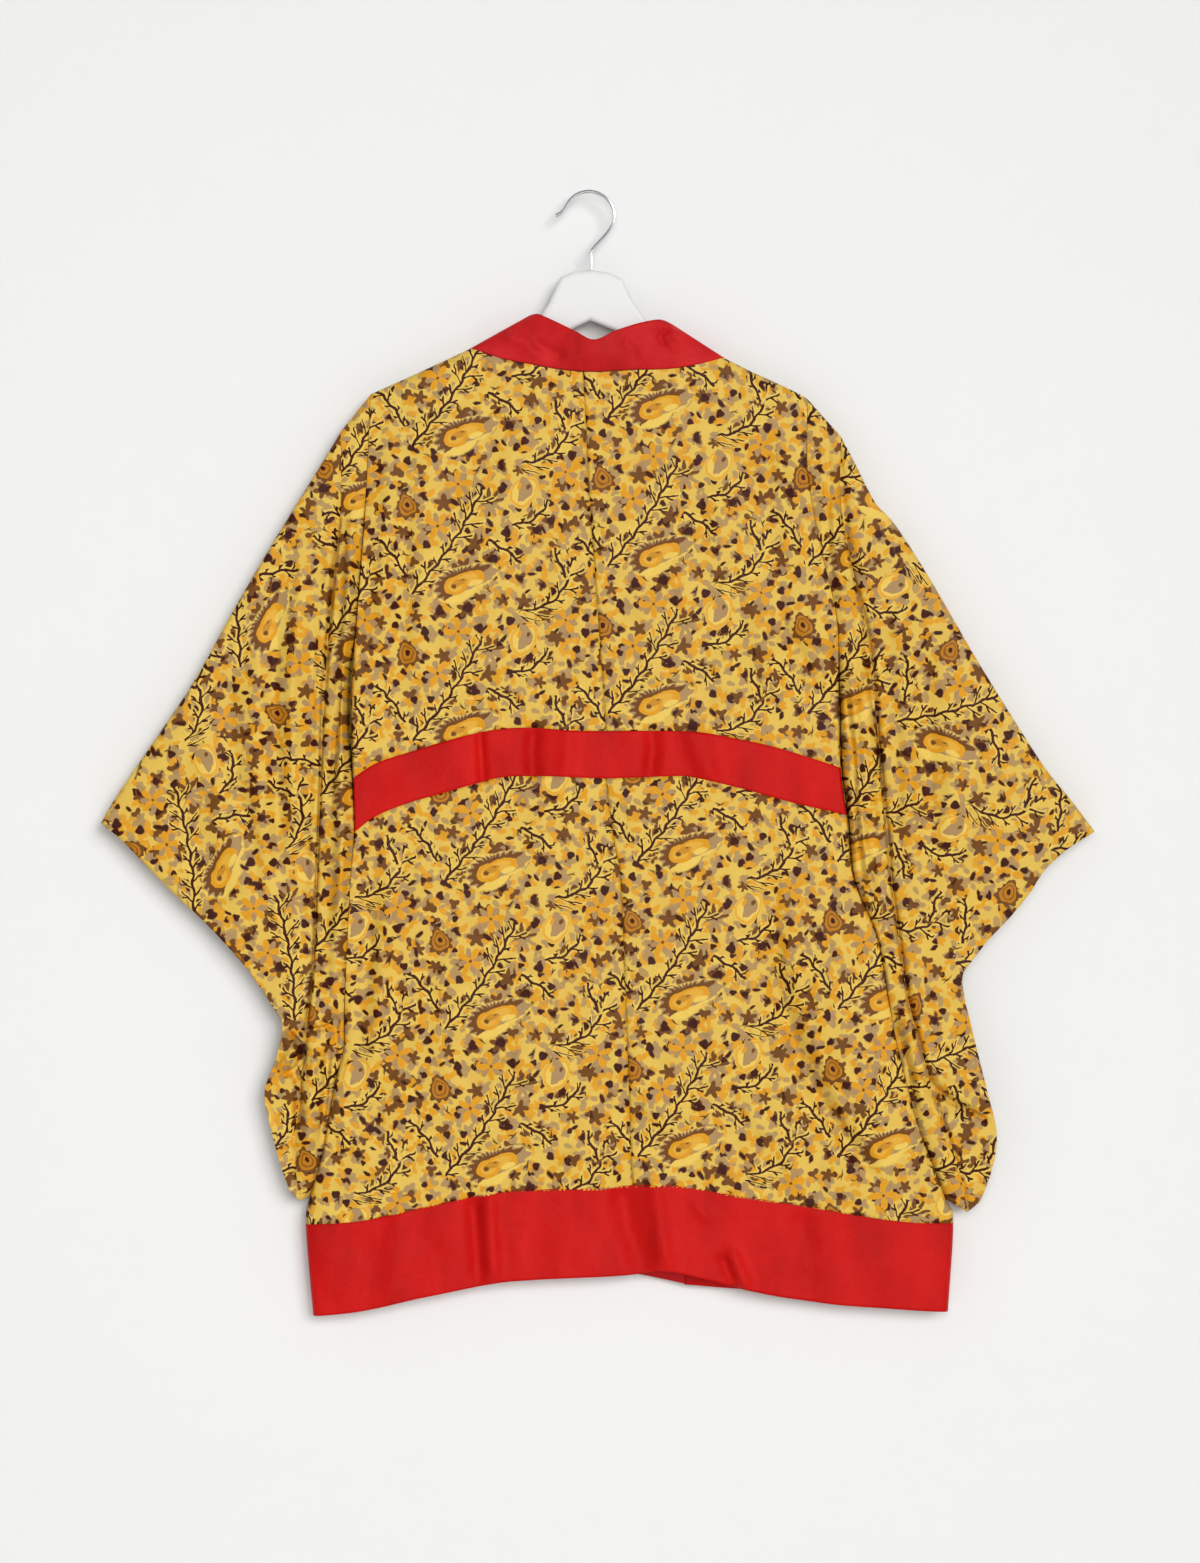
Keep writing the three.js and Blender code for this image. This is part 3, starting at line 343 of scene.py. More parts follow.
    def oval(self, local, centre, half_long, half_wide):
        """The cover of an oval, with soft edges."""
        steep = EDGE * half_wide
        out = self.from_oval(local, centre, half_long, half_wide)
        return self.reckon("MULTIPLY_ADD", out, -steep, steep, kept=True)

    def drop(self, local, length, width, hook, taper):
        """A paisley's drop: 0 at its middle, 1 at its outline. Its tail bends to one side."""
        x, y, _ = self.parts(local)
        along = x / length
        bent = y - (along * along + along * 0.6) * hook
        across = bent / (self.largest(along * -taper + (1 - abs(taper) * 0.5), 0.05) * width)
        return self.reckon("SQRT", along * along + across * across)

    def sprig(self, local, form, pitch):
        """A bent stem with forked side shoots turn about: where it is inked, and the clear cloth along it."""
        x, y, _ = self.parts(local)
        half_length, bend, branch = self.parts(form)
        across = y - x * x * bend - self.reckon("SINE", x * 0.33) * 0.9
        out = abs(across)
        side = across > 0
        slant = (x - out * 0.95) / pitch + side * 0.45
        number = self.reckon("FLOOR", slant)
        offset = (slant - number - 0.5) * pitch
        luck = self.node("ShaderNodeTexWhiteNoise", {"W": number * 2 + side}, noise_dimensions="1D")
        reach = (Figure(self, luck.outputs["Value"]) * 0.65 + 0.45) * branch
        shoots = self.smallest(abs(offset) < 1.0, out < reach)
        fork = abs(self.reckon("MULTIPLY_ADD", out - reach * 0.45, 0.8, offset))
        forks = self.smallest(fork < 0.9, out > reach * 0.45, out < reach * 0.95)
        inside = abs(x) < half_length
        inked = self.largest(out < 1.3, shoots, forks)
        clear = self.largest(out < 3.6, self.smallest(abs(offset) < 2.8, out < reach + 1.5))
        return self.smallest(inked, inside), self.smallest(clear, inside)


def printed_cloth(name):
    chart = Chart(name, (*GROUND, 1))
    shader, millimetres = chart.shader, chart.millimetres
    stir = chart.node("ShaderNodeTexNoise", {"Vector": millimetres, "Scale": 0.16, "Detail": 1.0})
    stirred = chart.arrow("SUBTRACT", stir.outputs["Color"], [0.5, 0.5, 0.5])
    place = chart.arrow("MULTIPLY_ADD", stirred, [3.0, 3.0, 0], millimetres)

    mottle = chart.noise(millimetres, 0.035, 2.0)
    chart.ink(GROUND_PALE, mottle)

    # Loose petals and leaves of taupe and orange, under everything else.
    for pitch, degrees, seed, ink in ((13.5, 23, 1, TAUPE), (14.0, 67, 2, ORANGE)):
        local, chance = chart.strewn(place, pitch, degrees, 0.4, seed)
        petal = chart.oval(local, (0, 0), 5.6, 3.2)
        chart.ink(ink, chart.smallest(petal, chance > 0.42) * 0.85)

    # Small flowers: a brown leaf or a dark heart, with taupe and orange petals printed beside it.
    for pitch, degrees, seed, size, points in ((21.0, 12, 3, 1.15, 3), (24.0, 49, 4, 1.3, 5)):
        local, chance = chart.strewn(place, pitch, degrees, 0.34, seed)
        taupe = chart.lobes(chart.moved(local, -3.0 * size, 2.8 * size), 5.2 * size, 3, 0.24)
        chart.ink(TAUPE, taupe * 0.9)
        orange = chart.lobes(chart.moved(local, 3.6 * size, 2.2 * size), 5.2 * size, 3, 0.28)
        chart.ink(ORANGE, orange * 0.9)
        leaf = chart.lobes(chart.moved(local, 0.2, -1.8 * size), 5.9 * size, points, 0.24)
        chart.ink(BROWN, chart.smallest(leaf, chance > 0.46))
        heart = chart.lobes(chart.moved(local, 0.4, -0.6 * size), 3.5 * size, 3, 0.10)
        chart.ink(DARK, chart.smallest(heart, chance < 0.62))

    # Dark leaves, and small forked twigs.
    local, chance = chart.strewn(place, 18.0, 33, 0.4, 5)
    leaf = chart.smallest(chart.oval(local, (0, 0), 5.0, 2.2), chance > 0.50)
    shoot = chart.oval(chart.turned(local, 0.7), (2.2, 0), 4.4, 1.1)
    twig = chart.largest(chart.oval(local, (0, 0), 6.2, 1.1), shoot)
    chart.ink(DARK, chart.largest(leaf, chart.smallest(twig, chance < 0.25)))

    # Star flowers: petals of orange and taupe turn about.
    star = [100.0, 0.0, 0.0]
    for centre, degrees in (((-4, -47), 5), ((98, -36), 25), ((-23, -87), 60)):
        local = chart.within(place, centre, degrees)
        star = chart.either(chart.length(local) < 16, star, local)
    chart.ink(TAUPE, chart.lobes(star, 13.0, 4, 0.42, math.pi))
    chart.ink(ORANGE, chart.lobes(star, 14.0, 4, 0.42))
    chart.ink(BROWN, chart.oval(star, (0, 0), 1.8, 1.8))

    # A fan of brown leaves over taupe ones.
    local = chart.within(place, (25, -62), 14)
    fan = chart.lobes(chart.moved(local, 0, -3), 15.5, 9, 0.30)
    chart.ink(TAUPE, fan)
    chart.ink(BROWN, chart.smallest(fan, chart.parts(local)[1] > -4.0))
    chart.ink(ORANGE, chart.oval(local, (-9, -7), 5.5, 2.0))

    # Sprigs: thin dark stems with short forked shoots.
    sprig_place, sprig_form = [500.0, 0.0, 0.0], [1.0, 0.0, 1.0]
    for centre, degrees, half_length, bend, branch in (
            ((91, -13), 47, 42, 0.0135, 16.0),
            ((-10, -104), 56, 60, 0.0014, 14.0),
            ((68, -80), 34, 21, 0.018, 10.0),
            ((40, 31), -33, 18, -0.006, 9.0),
            ((-66, 26), 128, 22, 0.006, 9.0),
            ((92, 18), 112, 15, -0.004, 6.0)):
        local = chart.within(place, centre, degrees)
        near = chart.from_oval(local, (0, 0), half_length * 1.2, branch * 1.2 + 2) < 1
        sprig_place = chart.either(near, sprig_place, local)
        sprig_form = chart.either(near, sprig_form, [half_length, bend, branch])
    inked, clear = chart.sprig(sprig_place, sprig_form, 13.0)
    chart.ink(GROUND_PALE, clear * 0.8)
    chart.ink(DARK, inked)

    # Paisleys: a large one with a brown fringe, a round one, and a pale taupe one.
    large = chart.within(place, (0, 0), 18)
    head, tail = chart.from_oval(large, (-7, -1.5), 11.5, 8.6), chart.from_oval(large, (6.0, 1.6), 16.0, 6.4)
    bean = chart.smallest(head, tail)
    teeth = chart.reckon("COSINE", chart.angle(large) * 24)
    along, across, _ = chart.parts(large)
    chart.ink(GROUND_PALE, chart.reckon("MULTIPLY_ADD", bean, -4, 8.2, kept=True))
    chart.ink(TAUPE, chart.smallest(bean < teeth * 0.12 + 1.80, across > along * 0.1 - 9.0))
    chart.ink(BROWN, chart.smallest(bean < teeth * 0.20 + 1.58, across > along * 0.35 - 5.0))
    chart.ink(ORANGE, bean < 1.0)
    chart.ink(GROUND_PALE, chart.reckon("MULTIPLY_ADD", bean, -5, 3.6, kept=True) * 0.35)
    for ink, centre, half_long, half_wide, share in (
            (GROUND_PALE, (12.0, -4.5), 8.5, 3.2, 1), (ORANGE, (20.0, -1.5), 2.2, 4.6, 1),
            (ORANGE_DEEP, (-3.0, 0.6), 9.0, 3.4, 0.7), (BROWN, (-9.0, -1.4), 3.0, 2.5, 1),
            (DARK, (1.0, 2.0), 3.0, 0.9, 1)):
        chart.ink(ink, chart.oval(large, centre, half_long, half_wide) * share)

    rounder = chart.within(place, (-52, -67), 100)
    drop = chart.drop(rounder, 10.5, 9.5, 1.0, 0.35)
    teeth = chart.reckon("COSINE", chart.angle(rounder) * 11)
    chart.ink(BROWN, drop < teeth * 0.12 + 1.25)
    chart.ink(ORANGE_DEEP, drop < 0.95)
    chart.ink(BROWN, chart.smallest(drop < 0.72, drop > 0.58) * 0.75)
    chart.ink(DARK, drop < 0.28)

    pale = chart.within(place, (58, -54), 64)
    drop = chart.drop(pale, 14.5, 11.0, -2.0, 0.1)
    chart.ink(GROUND_PALE, drop < 1.15)
    chart.ink(ORANGE, chart.smallest(drop < 1.12, drop > 0.90) * 0.7)
    comma = chart.drop(chart.moved(pale, 0.5, -1.5), 12.0, 8.0, 3.4, -0.42)
    chart.ink(TAUPE, comma < 1.0)
    chart.ink(ORANGE, chart.oval(pale, (2.5, 5.6), 4.2, 2.4))
    chart.ink(BROWN, chart.oval(pale, (6.0, -2.4), 3.0, 2.2))
    chart.feed(shader.inputs["Base Color"], chart.colour)

    # The weave is too fine to see as threads. It gives the cloth its soft shine and slight crinkle.
    relief = chart.noise(millimetres, 0.06, 3.0) * 0.9 + chart.threads("DIAGONAL", 0.9) * 0.012
    chart.emboss(relief, 0.006)
    chart.feed(shader.inputs["Roughness"], mottle * 0.14 + 0.38)
    shader.inputs["Specular IOR Level"].default_value = 0.11
    return chart.cloth


satin = printed_cloth("printed_satin")

# Upper back: two panels of the printed cloth with a seam down the middle of the back.
# Each turns over the shoulder, is sewn to the collar round the neck, and hangs down to the waist band.
# Sizes are in millimetres, and MM makes them metres.
MM = 0.001
CLOTH = 0.6
HALF_DEPTH = 9.4
FOLD_RADIUS = 9.0
SIDE_HALF_DEPTH = 3.2
UNDERARM = -776.0
SEAM_WIDE, SEAM_DEEP = 1.6, 1.1
NECK_Z, WAIST_TOP_Z, WAIST_LOW_Z, HEM_TOP_Z = -171, -511, -556, -944
NECK_LEFT, NECK_RIGHT = (-114, -148), (128, -157)
SHOULDER_LEFT, SHOULDER_RIGHT = (-208, -191), (206, -195)


def smooth_line(points, steps=12):
    """A smooth line through [x, z] points, as many short straight stretches."""
    points = np.asarray(points, float)
    before = np.vstack([2 * points[0] - points[1], points[:-2]])
    before = np.vstack([before, points[-2]])[: len(points) - 1]
    after = np.vstack([points[2:], 2 * points[-1] - points[-2]])
    start, end = points[:-1], points[1:]
    shares = np.linspace(0, 1, steps, endpoint=False)[:, None, None]
    slope_start, slope_end = (end - before) / 2, (after - start) / 2
    line = start + shares * (slope_start + shares * (
        3 * (end - start) - 2 * slope_start - slope_end
        + shares * (slope_start + slope_end - 2 * (end - start))))
    return np.vstack([line.transpose(1, 0, 2).reshape(-1, 2), points[-1]])


def height_at(line, x):
    return np.interp(x, line[:, 0], line[:, 1])


def across_at(line, z):
    return np.interp(-np.asarray(z), -line[:, 1], line[:, 0])


SIDE_LEFT = smooth_line([
    SHOULDER_LEFT, (-211, -264), (-216, -337), (-222, -410), (-227, -483), (-225, -556), (-223.5, -607),
    (-227, -655), (-230, -712), (-233, -776), (-234, -812), (-243, -848), (-249, -884), (-256, -920),
    (-266, -953), (-270, -979), (-263, -1066)])
SIDE_RIGHT = smooth_line([
    SHOULDER_RIGHT, (206, -265), (218, -335), (234, -405), (236, -475), (238, -546), (244, -591),
    (250, -650), (272, -705), (283, -765), (291, -805), (302, -850), (313, -890), (327, -926),
    (338, -956), (345, -978), (340, -1062)])
NECK_SEAM = smooth_line([
    NECK_LEFT, (-84, -158), (-54, -164), (-25, -169), (6, -171), (38, -169), (76, -168), (101, -164),
    NECK_RIGHT])
SHOULDER_LINE_LEFT = smooth_line([SHOULDER_LEFT, (-170, -174), (-131, -156), NECK_LEFT])
SHOULDER_LINE_RIGHT = smooth_line([NECK_RIGHT, (154, -170), (174, -179), (195, -189), SHOULDER_RIGHT])
WAIST_TOP = smooth_line([
    (-225, -556), (-203, -542), (-174, -532), (-127, -518), (-96, -511), (-61, -508), (-11, -511),
    (46, -511), (100, -512), (141, -519), (181, -528), (238, -546)])
WAIST_BOTTOM = smooth_line([
    (-223.5, -607), (-203, -592), (-174, -580), (-143, -571), (-111, -562), (-83, -555), (-42, -554),
    (14, -556), (78, -554), (97, -555), (141, -565), (188, -578), (244, -591)])
HEM_TOP = smooth_line([
    (-270, -979), (-217, -975), (-148, -960), (-114, -953), (-78, -947), (-30, -945), (10, -944),
    (58, -941), (94, -943), (131, -950), (203, -961), (288, -975), (345, -978)])
HEM_BOTTOM = smooth_line([
    (-263, -1066), (-216, -1061), (-163, -1049), (-103, -1037), (-78, -1033), (-30, -1030),
    (34, -1027), (70, -1023), (106, -1030), (145, -1040), (179, -1047), (228, -1054), (276, -1058),
    (340, -1062)])
CENTRE_SEAM = smooth_line([
    (-7, -160), (0, -296), (5, -366), (15, -511), (15, -556), (24, -623), (30, -672), (40, -944),
    (41, -1035)])

# Folds and creases of the back: the line, its half width and its height. A trough is below 0.
BACK_CREASES = [
    ([(172, -640), (178, -760), (197, -816), (215, -855), (237, -892), (278, -947)], 7, -8.5),
    ([(188, -700), (212, -800), (240, -865), (290, -935)], 9, 7),
    ([(180, -405), (199, -440), (219, -475)], 7, -6),
    ([(150, -380), (166, -430), (178, -490)], 10, 4),
    ([(-112, -948), (-109, -985), (-105, -1040)], 7, -8),
    ([(-96, -945), (-94, -985), (-90, -1036)], 6, 7),
    ([(26, -935), (38, -985), (54, -1029)], 12, -8),
    ([(60, -935), (66, -985), (74, -1024)], 8, 6),
    ([(-178, -955), (-184, -1000), (-190, -1055)], 12, 4),
    ([(44, -855), (66, -878), (90, -900)], 5, 4),
    ([(132, -1000), (140, -1018), (150, -1042)], 5, 7),
    ([(124, -1006), (131, -1024), (138, -1042)], 4, -6),
    ([(196, -965), (206, -1000), (210, -1048)], 12, -4),
    ([(-205, -650), (-213, -740), (-217, -800)], 8, -5),
    ([(-188, -640), (-197, -760), (-206, -840)], 9, 5),
    ([(-150, -700), (-158, -800), (-172, -900)], 12, -4),
    ([(-190, -230), (-192, -330), (-196, -440)], 10, 4),
    ([(-175, -300), (-176, -380), (-180, -470)], 8, -3),
    ([(180, -230), (184, -300), (196, -380)], 9, 4),
    ([(96, -955), (106, -968), (112, -975)], 4, 3),
    ([(-150, -620), (-165, -760), (-185, -900)], 16, 3),
    ([(-105, -505), (-103, -535), (-101, -566)], 4, -8),
    ([(-52, -505), (-56, -530), (-52, -560)], 7, -7),
    ([(-20, -505), (-22, -530), (-24, -560)], 8, 4),
    ([(58, -505), (60, -530), (56, -560)], 7, -6.5),
    ([(92, -505), (100, -530), (112, -560)], 8, 4),
    ([(104, -505), (112, -535), (118, -566)], 8, 3),
    ([(-160, -230), (-150, -330), (-158, -440)], 18, 2),
    ([(120, -240), (128, -340), (150, -450)], 16, 2),
    ([(224, -424), (228, -450), (233, -470)], 6, -5),
    ([(-28, -934), (-24, -920), (-4, -906)], 5, 2.5),
    ([(20, -560), (36, -580), (40, -610)], 5, 2),
    ([(-20, -560), (-30, -575), (-50, -590)], 5, 2),
    ([(30, -930), (20, -920), (22, -900)], 4, 2.5),
    ([(150, -870), (180, -905), (200, -950)], 6, 3),
]


def crease_height(creases, x, z):
    height = np.zeros_like(x)
    for line, wide, high in creases:
        nearest = np.full_like(x, np.inf)
        along = np.zeros_like(x)
        for index, (start, end) in enumerate(zip(line[:-1], line[1:])):
            span_x, span_z = end[0] - start[0], end[1] - start[1]
            share = ((x - start[0]) * span_x + (z - start[1]) * span_z) / (span_x ** 2 + span_z ** 2)
            share = np.clip(share, 0, 1)
            distance = np.hypot(x - start[0] - share * span_x, z - start[1] - share * span_z)
            closer = distance < nearest
            nearest = np.where(closer, distance, nearest)
            along = np.where(closer, (index + share) / (len(line) - 1), along)
        fade = np.minimum(1, 5 * np.minimum(along, 1 - along) + 0.15)
        height += high * fade * np.exp(-((nearest / wide) ** 2))
    return height


def ripple(x, z, seed, height=0.5):
    """The slight unevenness of hanging cloth."""
    chance = np.random.default_rng(seed)
    total = np.zeros_like(x)
    for _ in range(14):
        turn = chance.uniform(-0.9, 0.9)
        length = chance.uniform(26, 120)
        phase = chance.uniform(0, 6.28)
        wave = 2 * math.pi / length
        total += np.sin(wave * (x * math.cos(turn) + z * math.sin(turn)) + phase) * length / 110
    return total * height * 0.45


def turned(distance, radius=FOLD_RADIUS):
    left = 1 - np.clip(np.asarray(distance) / radius, 0, 1)
    return np.sqrt(1 - left * left)


# How the seam at the side of the body sinks in, and gapes where the sleeve pulls away from it.
# A row holds a height, and there the groove's half width, its depth as a share, and how far it gapes.
GAP_LEFT = [
    (-191, 6, 0.08, 0), (-285, 6, 0.14, 0), (-305, 1.8, 0.45, 0), (-425, 2.0, 0.55, 0), (-447, 4.4, 1, 3.2),
    (-520, 4.4, 1, 3.4), (-556, 2.4, 0.7, 0.6), (-605, 2, 0.35, 0), (-640, 6, 0.06, 0), (-760, 6, 0.06, 0),
    (-812, 3, 0.9, 0), (-1070, 4, 0.9, 0)]
GAP_RIGHT = [
    (-195, 6, 0.08, 0), (-300, 6, 0.14, 0), (-430, 4, 0.25, 0), (-458, 3.2, 0.9, 0.8), (-480, 3.4, 1, 1.4),
    (-620, 3.0, 1, 1.4), (-650, 2.5, 0.8, 0.5), (-675, 4, 0.3, 0), (-760, 3, 0.35, 0), (-812, 2.4, 0.9, 0),
    (-1070, 4, 0.9, 0)]


def read_row(table, z):
    """The columns of a table of heights, each read at the heights z."""
    heights, *columns = np.array(table, float).T
    return [np.interp(-np.asarray(z), -heights, column) for column in columns]


def seam_height(distance, table, z, spread=1.0):
    """The height left beside a side seam, as a share: 1 away from it, less in its groove."""
    wide, deep, _ = read_row(table, z)
    return 1 - deep * (1 - np.maximum(turned(distance, wide * spread), 0.2))


def drawn_in(z):
    """How far the cloth has drawn in to the side seams, from just above the underarm downwards."""
    return np.clip((UNDERARM + 40 - z) / 60, 0, 1)


def body_depth(creases, x, z, seed):
    """How far the body's cloth stands from the middle plane."""
    left, right = x - across_at(SIDE_LEFT, z), across_at(SIDE_RIGHT, z) - x
    drawn = drawn_in(z)
    low = SIDE_HALF_DEPTH / HALF_DEPTH
    draw = 1 - drawn * (1 - (low + (1 - low) * turned(np.minimum(left, right), 2 * FOLD_RADIUS)))
    groove = np.minimum(seam_height(left, GAP_LEFT, z), seam_height(right, GAP_RIGHT, z))
    calm = 1 - 0.85 * np.exp(-(np.minimum(left, right) / 9) ** 2)
    height = HALF_DEPTH + (crease_height(creases, x, z) + ripple(x, z, seed, 0.8)) * calm
    return height * draw * groove


def cloth_piece(name, columns, rows, shape, thickness, finish, nodes, round_it=False, face_out=True):
    """A sheet of cloth from a grid. Its shape gives x, y and z for shares across and down it."""
    columns, rows = np.asarray(columns, float), np.asarray(rows, float)
    sheet = bmesh.new()
    bmesh.ops.create_grid(sheet, x_segments=len(columns) - 1, y_segments=len(rows) - 1, size=0.5)
    sheet.verts.ensure_lookup_table()
    flat = np.array([vertex.co[:2] for vertex in sheet.verts])
    column = np.rint((flat[:, 0] + 0.5) * (len(columns) - 1)).astype(int)
    row = np.rint((0.5 - flat[:, 1]) * (len(rows) - 1)).astype(int)
    across, down = columns[column], rows[row]
    x, y, z = shape(across, down)
    for vertex, place in zip(sheet.verts, np.column_stack([x, y, z]) * MM):
        vertex.co = place
    cut = sheet.loops.layers.uv.new("cut")
    for face in sheet.faces:
        face.smooth = True
        middle = sum(across[vertex.index] for vertex in face.verts) / 4
        for loop in face.loops:
            index = loop.vert.index
            loop[cut].uv = finish["cut"](x[index], z[index], middle)
    if round_it:
        bmesh.ops.remove_doubles(sheet, verts=sheet.verts, dist=1e-6)
    if not face_out:
        bmesh.ops.reverse_faces(sheet, faces=sheet.faces)
    mesh = bpy.data.meshes.new(name + "_cloth")
    sheet.to_mesh(mesh)
    sheet.free()
    mesh.materials.append(finish["material"])
    piece = placed(name + "_cloth", mesh)
    wall = piece.modifiers.new("wall", "SOLIDIFY")
    wall.thickness = thickness * MM
    wall.offset = -1
    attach(piece, "root")
    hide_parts(*nodes)
    return piece


def panel_shape(edges, depth):
    """A panel between its top, bottom, left and right edges, each a function of its share."""
    top, bottom, left, right = edges
    corners = [np.array(edge(np.array(share))) for edge in (top, bottom) for share in (0., 1.)]

    def shape(across, down):
        place = (np.array(top(across)) * (1 - down) + np.array(bottom(across)) * down
                 + np.array(left(down)) * (1 - across) + np.array(right(down)) * across
                 - corners[0][:, None] * (1 - across) * (1 - down) - corners[1][:, None] * across * (1 - down)
                 - corners[2][:, None] * (1 - across) * down - corners[3][:, None] * across * down)
        x, z = place
        return x, depth(x, z, np.array(top(across))[1] - z), z
    return shape


def edge_across(line, from_x, to_x):
    def edge(share):
        x = from_x + (to_x - from_x) * share
        return x, height_at(line, x)
    return edge


def edge_down(line, from_z, to_z):
    def edge(share):
        z = from_z + (to_z - from_z) * share
        return across_at(line, z), z
    return edge


def whole_edge(line):
    return edge_across(line, line[0, 0], line[-1, 0])


def left_edge(upper, lower):
    return edge_down(SIDE_LEFT, upper[0, 1], lower[0, 1])


def right_edge(upper, lower):
    return edge_down(SIDE_RIGHT, upper[-1, 1], lower[-1, 1])


def joined(first, second, corner):
    """Two edges as one, which meet at the corner's share."""
    def edge(share):
        share = np.asarray(share, float)
        one = first(np.clip(share / corner, 0, 1))
        other = second(np.clip((share - corner) / (1 - corner), 0, 1))
        return np.where(share <= corner, one[0], other[0]), np.where(share <= corner, one[1], other[1])
    return edge


def print_from(origin, degrees=0.0):
    """Where the print's chart starts on a piece, and how far the piece's grain is turned."""
    cos, sin = math.cos(math.radians(degrees)), math.sin(math.radians(degrees))

    def cut(x, z, _):
        dx, dz = (x - origin[0]) * MM, (z - origin[1]) * MM
        return dx * cos + dz * sin, dz * cos - dx * sin
    return cut


def edge_steps(count, side, fine=(0.002, 0.005, 0.009, 0.015, 0.024)):
    """Even shares with more of them near the side seam."""
    even = list(np.linspace(0, 1, count + 1))
    return sorted(even + (list(fine) if side == "start" else [1 - share for share in fine]))


FOLD_STEPS = [0, 0.001, 0.003, 0.006, 0.011, 0.017, 0.025]
centre_top = float(across_at(CENTRE_SEAM, -170))
centre_waist = float(across_at(CENTRE_SEAM, WAIST_TOP_Z))
neck_left_share = (NECK_LEFT[0] - SHOULDER_LEFT[0]) / (centre_top - SHOULDER_LEFT[0])
neck_right_share = (NECK_RIGHT[0] - centre_top) / (SHOULDER_RIGHT[0] - centre_top)


def shoulder_turn(x, drop):
    past_neck = np.maximum(0, np.minimum(x - NECK_LEFT[0], NECK_RIGHT[0] - x))
    over = turned(drop)
    return np.maximum(over + (1 - over) * turned(past_neck, 5), 0.02)


def back_height(x, z):
    """How far the back stands out, with the groove of the seam down its middle."""
    seam = np.exp(-((x - across_at(CENTRE_SEAM, z)) / SEAM_WIDE) ** 2) * SEAM_DEEP
    return body_depth(BACK_CREASES, x, z, 3) - seam


def upper_back_depth(x, z, drop):
    return -back_height(x, z) * shoulder_turn(x, drop)


upper_left = panel_shape([
    joined(edge_across(SHOULDER_LINE_LEFT, SHOULDER_LEFT[0], NECK_LEFT[0]),
           edge_across(NECK_SEAM, NECK_LEFT[0], centre_top), neck_left_share),
    edge_across(WAIST_TOP, WAIST_TOP[0, 0], centre_waist),
    left_edge(SHOULDER_LINE_LEFT, WAIST_TOP),
    edge_down(CENTRE_SEAM, NECK_Z, WAIST_TOP_Z)], upper_back_depth)
upper_right = panel_shape([
    joined(edge_across(NECK_SEAM, centre_top, NECK_RIGHT[0]),
           edge_across(SHOULDER_LINE_RIGHT, NECK_RIGHT[0], SHOULDER_RIGHT[0]), neck_right_share),
    edge_across(WAIST_TOP, centre_waist, WAIST_TOP[-1, 0]),
    edge_down(CENTRE_SEAM, NECK_Z, WAIST_TOP_Z),
    right_edge(SHOULDER_LINE_RIGHT, WAIST_TOP)], upper_back_depth)
upper_rows = FOLD_STEPS + list(np.linspace(0.035, 1, 110))
for name, shape, side, start, flat in (
        ("upper_back_left", upper_left, "start", (-121, -370), (0.236, 0.400)),
        ("upper_back_right", upper_right, "end", (64, -344), (0.240, 0.400))):
    piece = cloth_piece(name, edge_steps(70, side), upper_rows, shape, CLOTH,
                        {"material": satin, "cut": print_from(start)}, [name])
    0.92 * flat[0] * flat[1]

# Waist band: one strip of red taffeta set in across the back, between the upper and the lower back.
# It is sewn to both and runs from side seam to side seam.
BAND = 0.9
# RED is the taffeta's own red. The darker and the lighter red paint shade and sheen into it in broad patches.
RED = (0.550, 0.006, 0.005)
RED_PAINTED_SHADE = (0.460, 0.005, 0.004)
RED_PAINTED_SHEEN = (0.620, 0.009, 0.007)


def red_cloth(name, shade_red, middle, sheen_red):
    """Plain red cloth: broad patches of painted sheen and shade, fine slubs across it, a faint rib of warp
    and weft.
    """
    chart = Chart(name)
    shader, millimetres = chart.shader, chart.millimetres
    # Broad patches painted darker and lighter stand in for the taffeta's uneven sheen and shade. The fine
    # slubs are the cloth's own.
    painted_sheen_patches = chart.noise(chart.arrow("MULTIPLY", millimetres, [1, 0.35, 0]), 0.03, 3.0)
    slub = chart.noise(chart.arrow("MULTIPLY", millimetres, [0.06, 1.6, 0]), 1.0, 2.0)
    shade = chart.node("ShaderNodeValToRGB", {"Fac": painted_sheen_patches * 0.8 + slub * 0.2})
    ramp = shade.color_ramp
    ramp.elements[0].position, ramp.elements[0].color = 0.34, (*shade_red, 1)
    ramp.elements[1].position, ramp.elements[1].color = 0.68, (*sheen_red, 1)
    ramp.elements.new(0.5).color = (*middle, 1)
    chart.feed(shader.inputs["Base Color"], shade.outputs["Color"])
    warp, weft = chart.threads("X", 0.55, 0.4), chart.threads("Y", 0.75, 0.4)
    chart.emboss(warp * 0.010 + weft * 0.016 + chart.noise(millimetres, 0.045, 5.0) * 0.9, 0.005)
    shader.inputs["Roughness"].default_value = 0.46
    shader.inputs["Specular IOR Level"].default_value = 0.09
    return chart.cloth


taffeta = red_cloth("red_taffeta", RED_PAINTED_SHADE, RED, RED_PAINTED_SHEEN)


def lying_depth(x, z, _):
    return -back_height(x, z)


def band_depth(x, z, _):
    return -body_depth(BACK_CREASES, x, z, 3)


waist = panel_shape([
    whole_edge(WAIST_TOP), whole_edge(WAIST_BOTTOM),
    left_edge(WAIST_TOP, WAIST_BOTTOM), right_edge(WAIST_TOP, WAIST_BOTTOM)], band_depth)
BAND_END_STEPS = (0.001, 0.003, 0.005)
both_ends = sorted({*edge_steps(150, "start", BAND_END_STEPS), *edge_steps(150, "end", BAND_END_STEPS)})
waist_piece = cloth_piece("waist_band", both_ends, np.linspace(0, 1, 17), waist, BAND,
                          {"material": taffeta, "cut": print_from((0, 0))}, ["waist_band"])

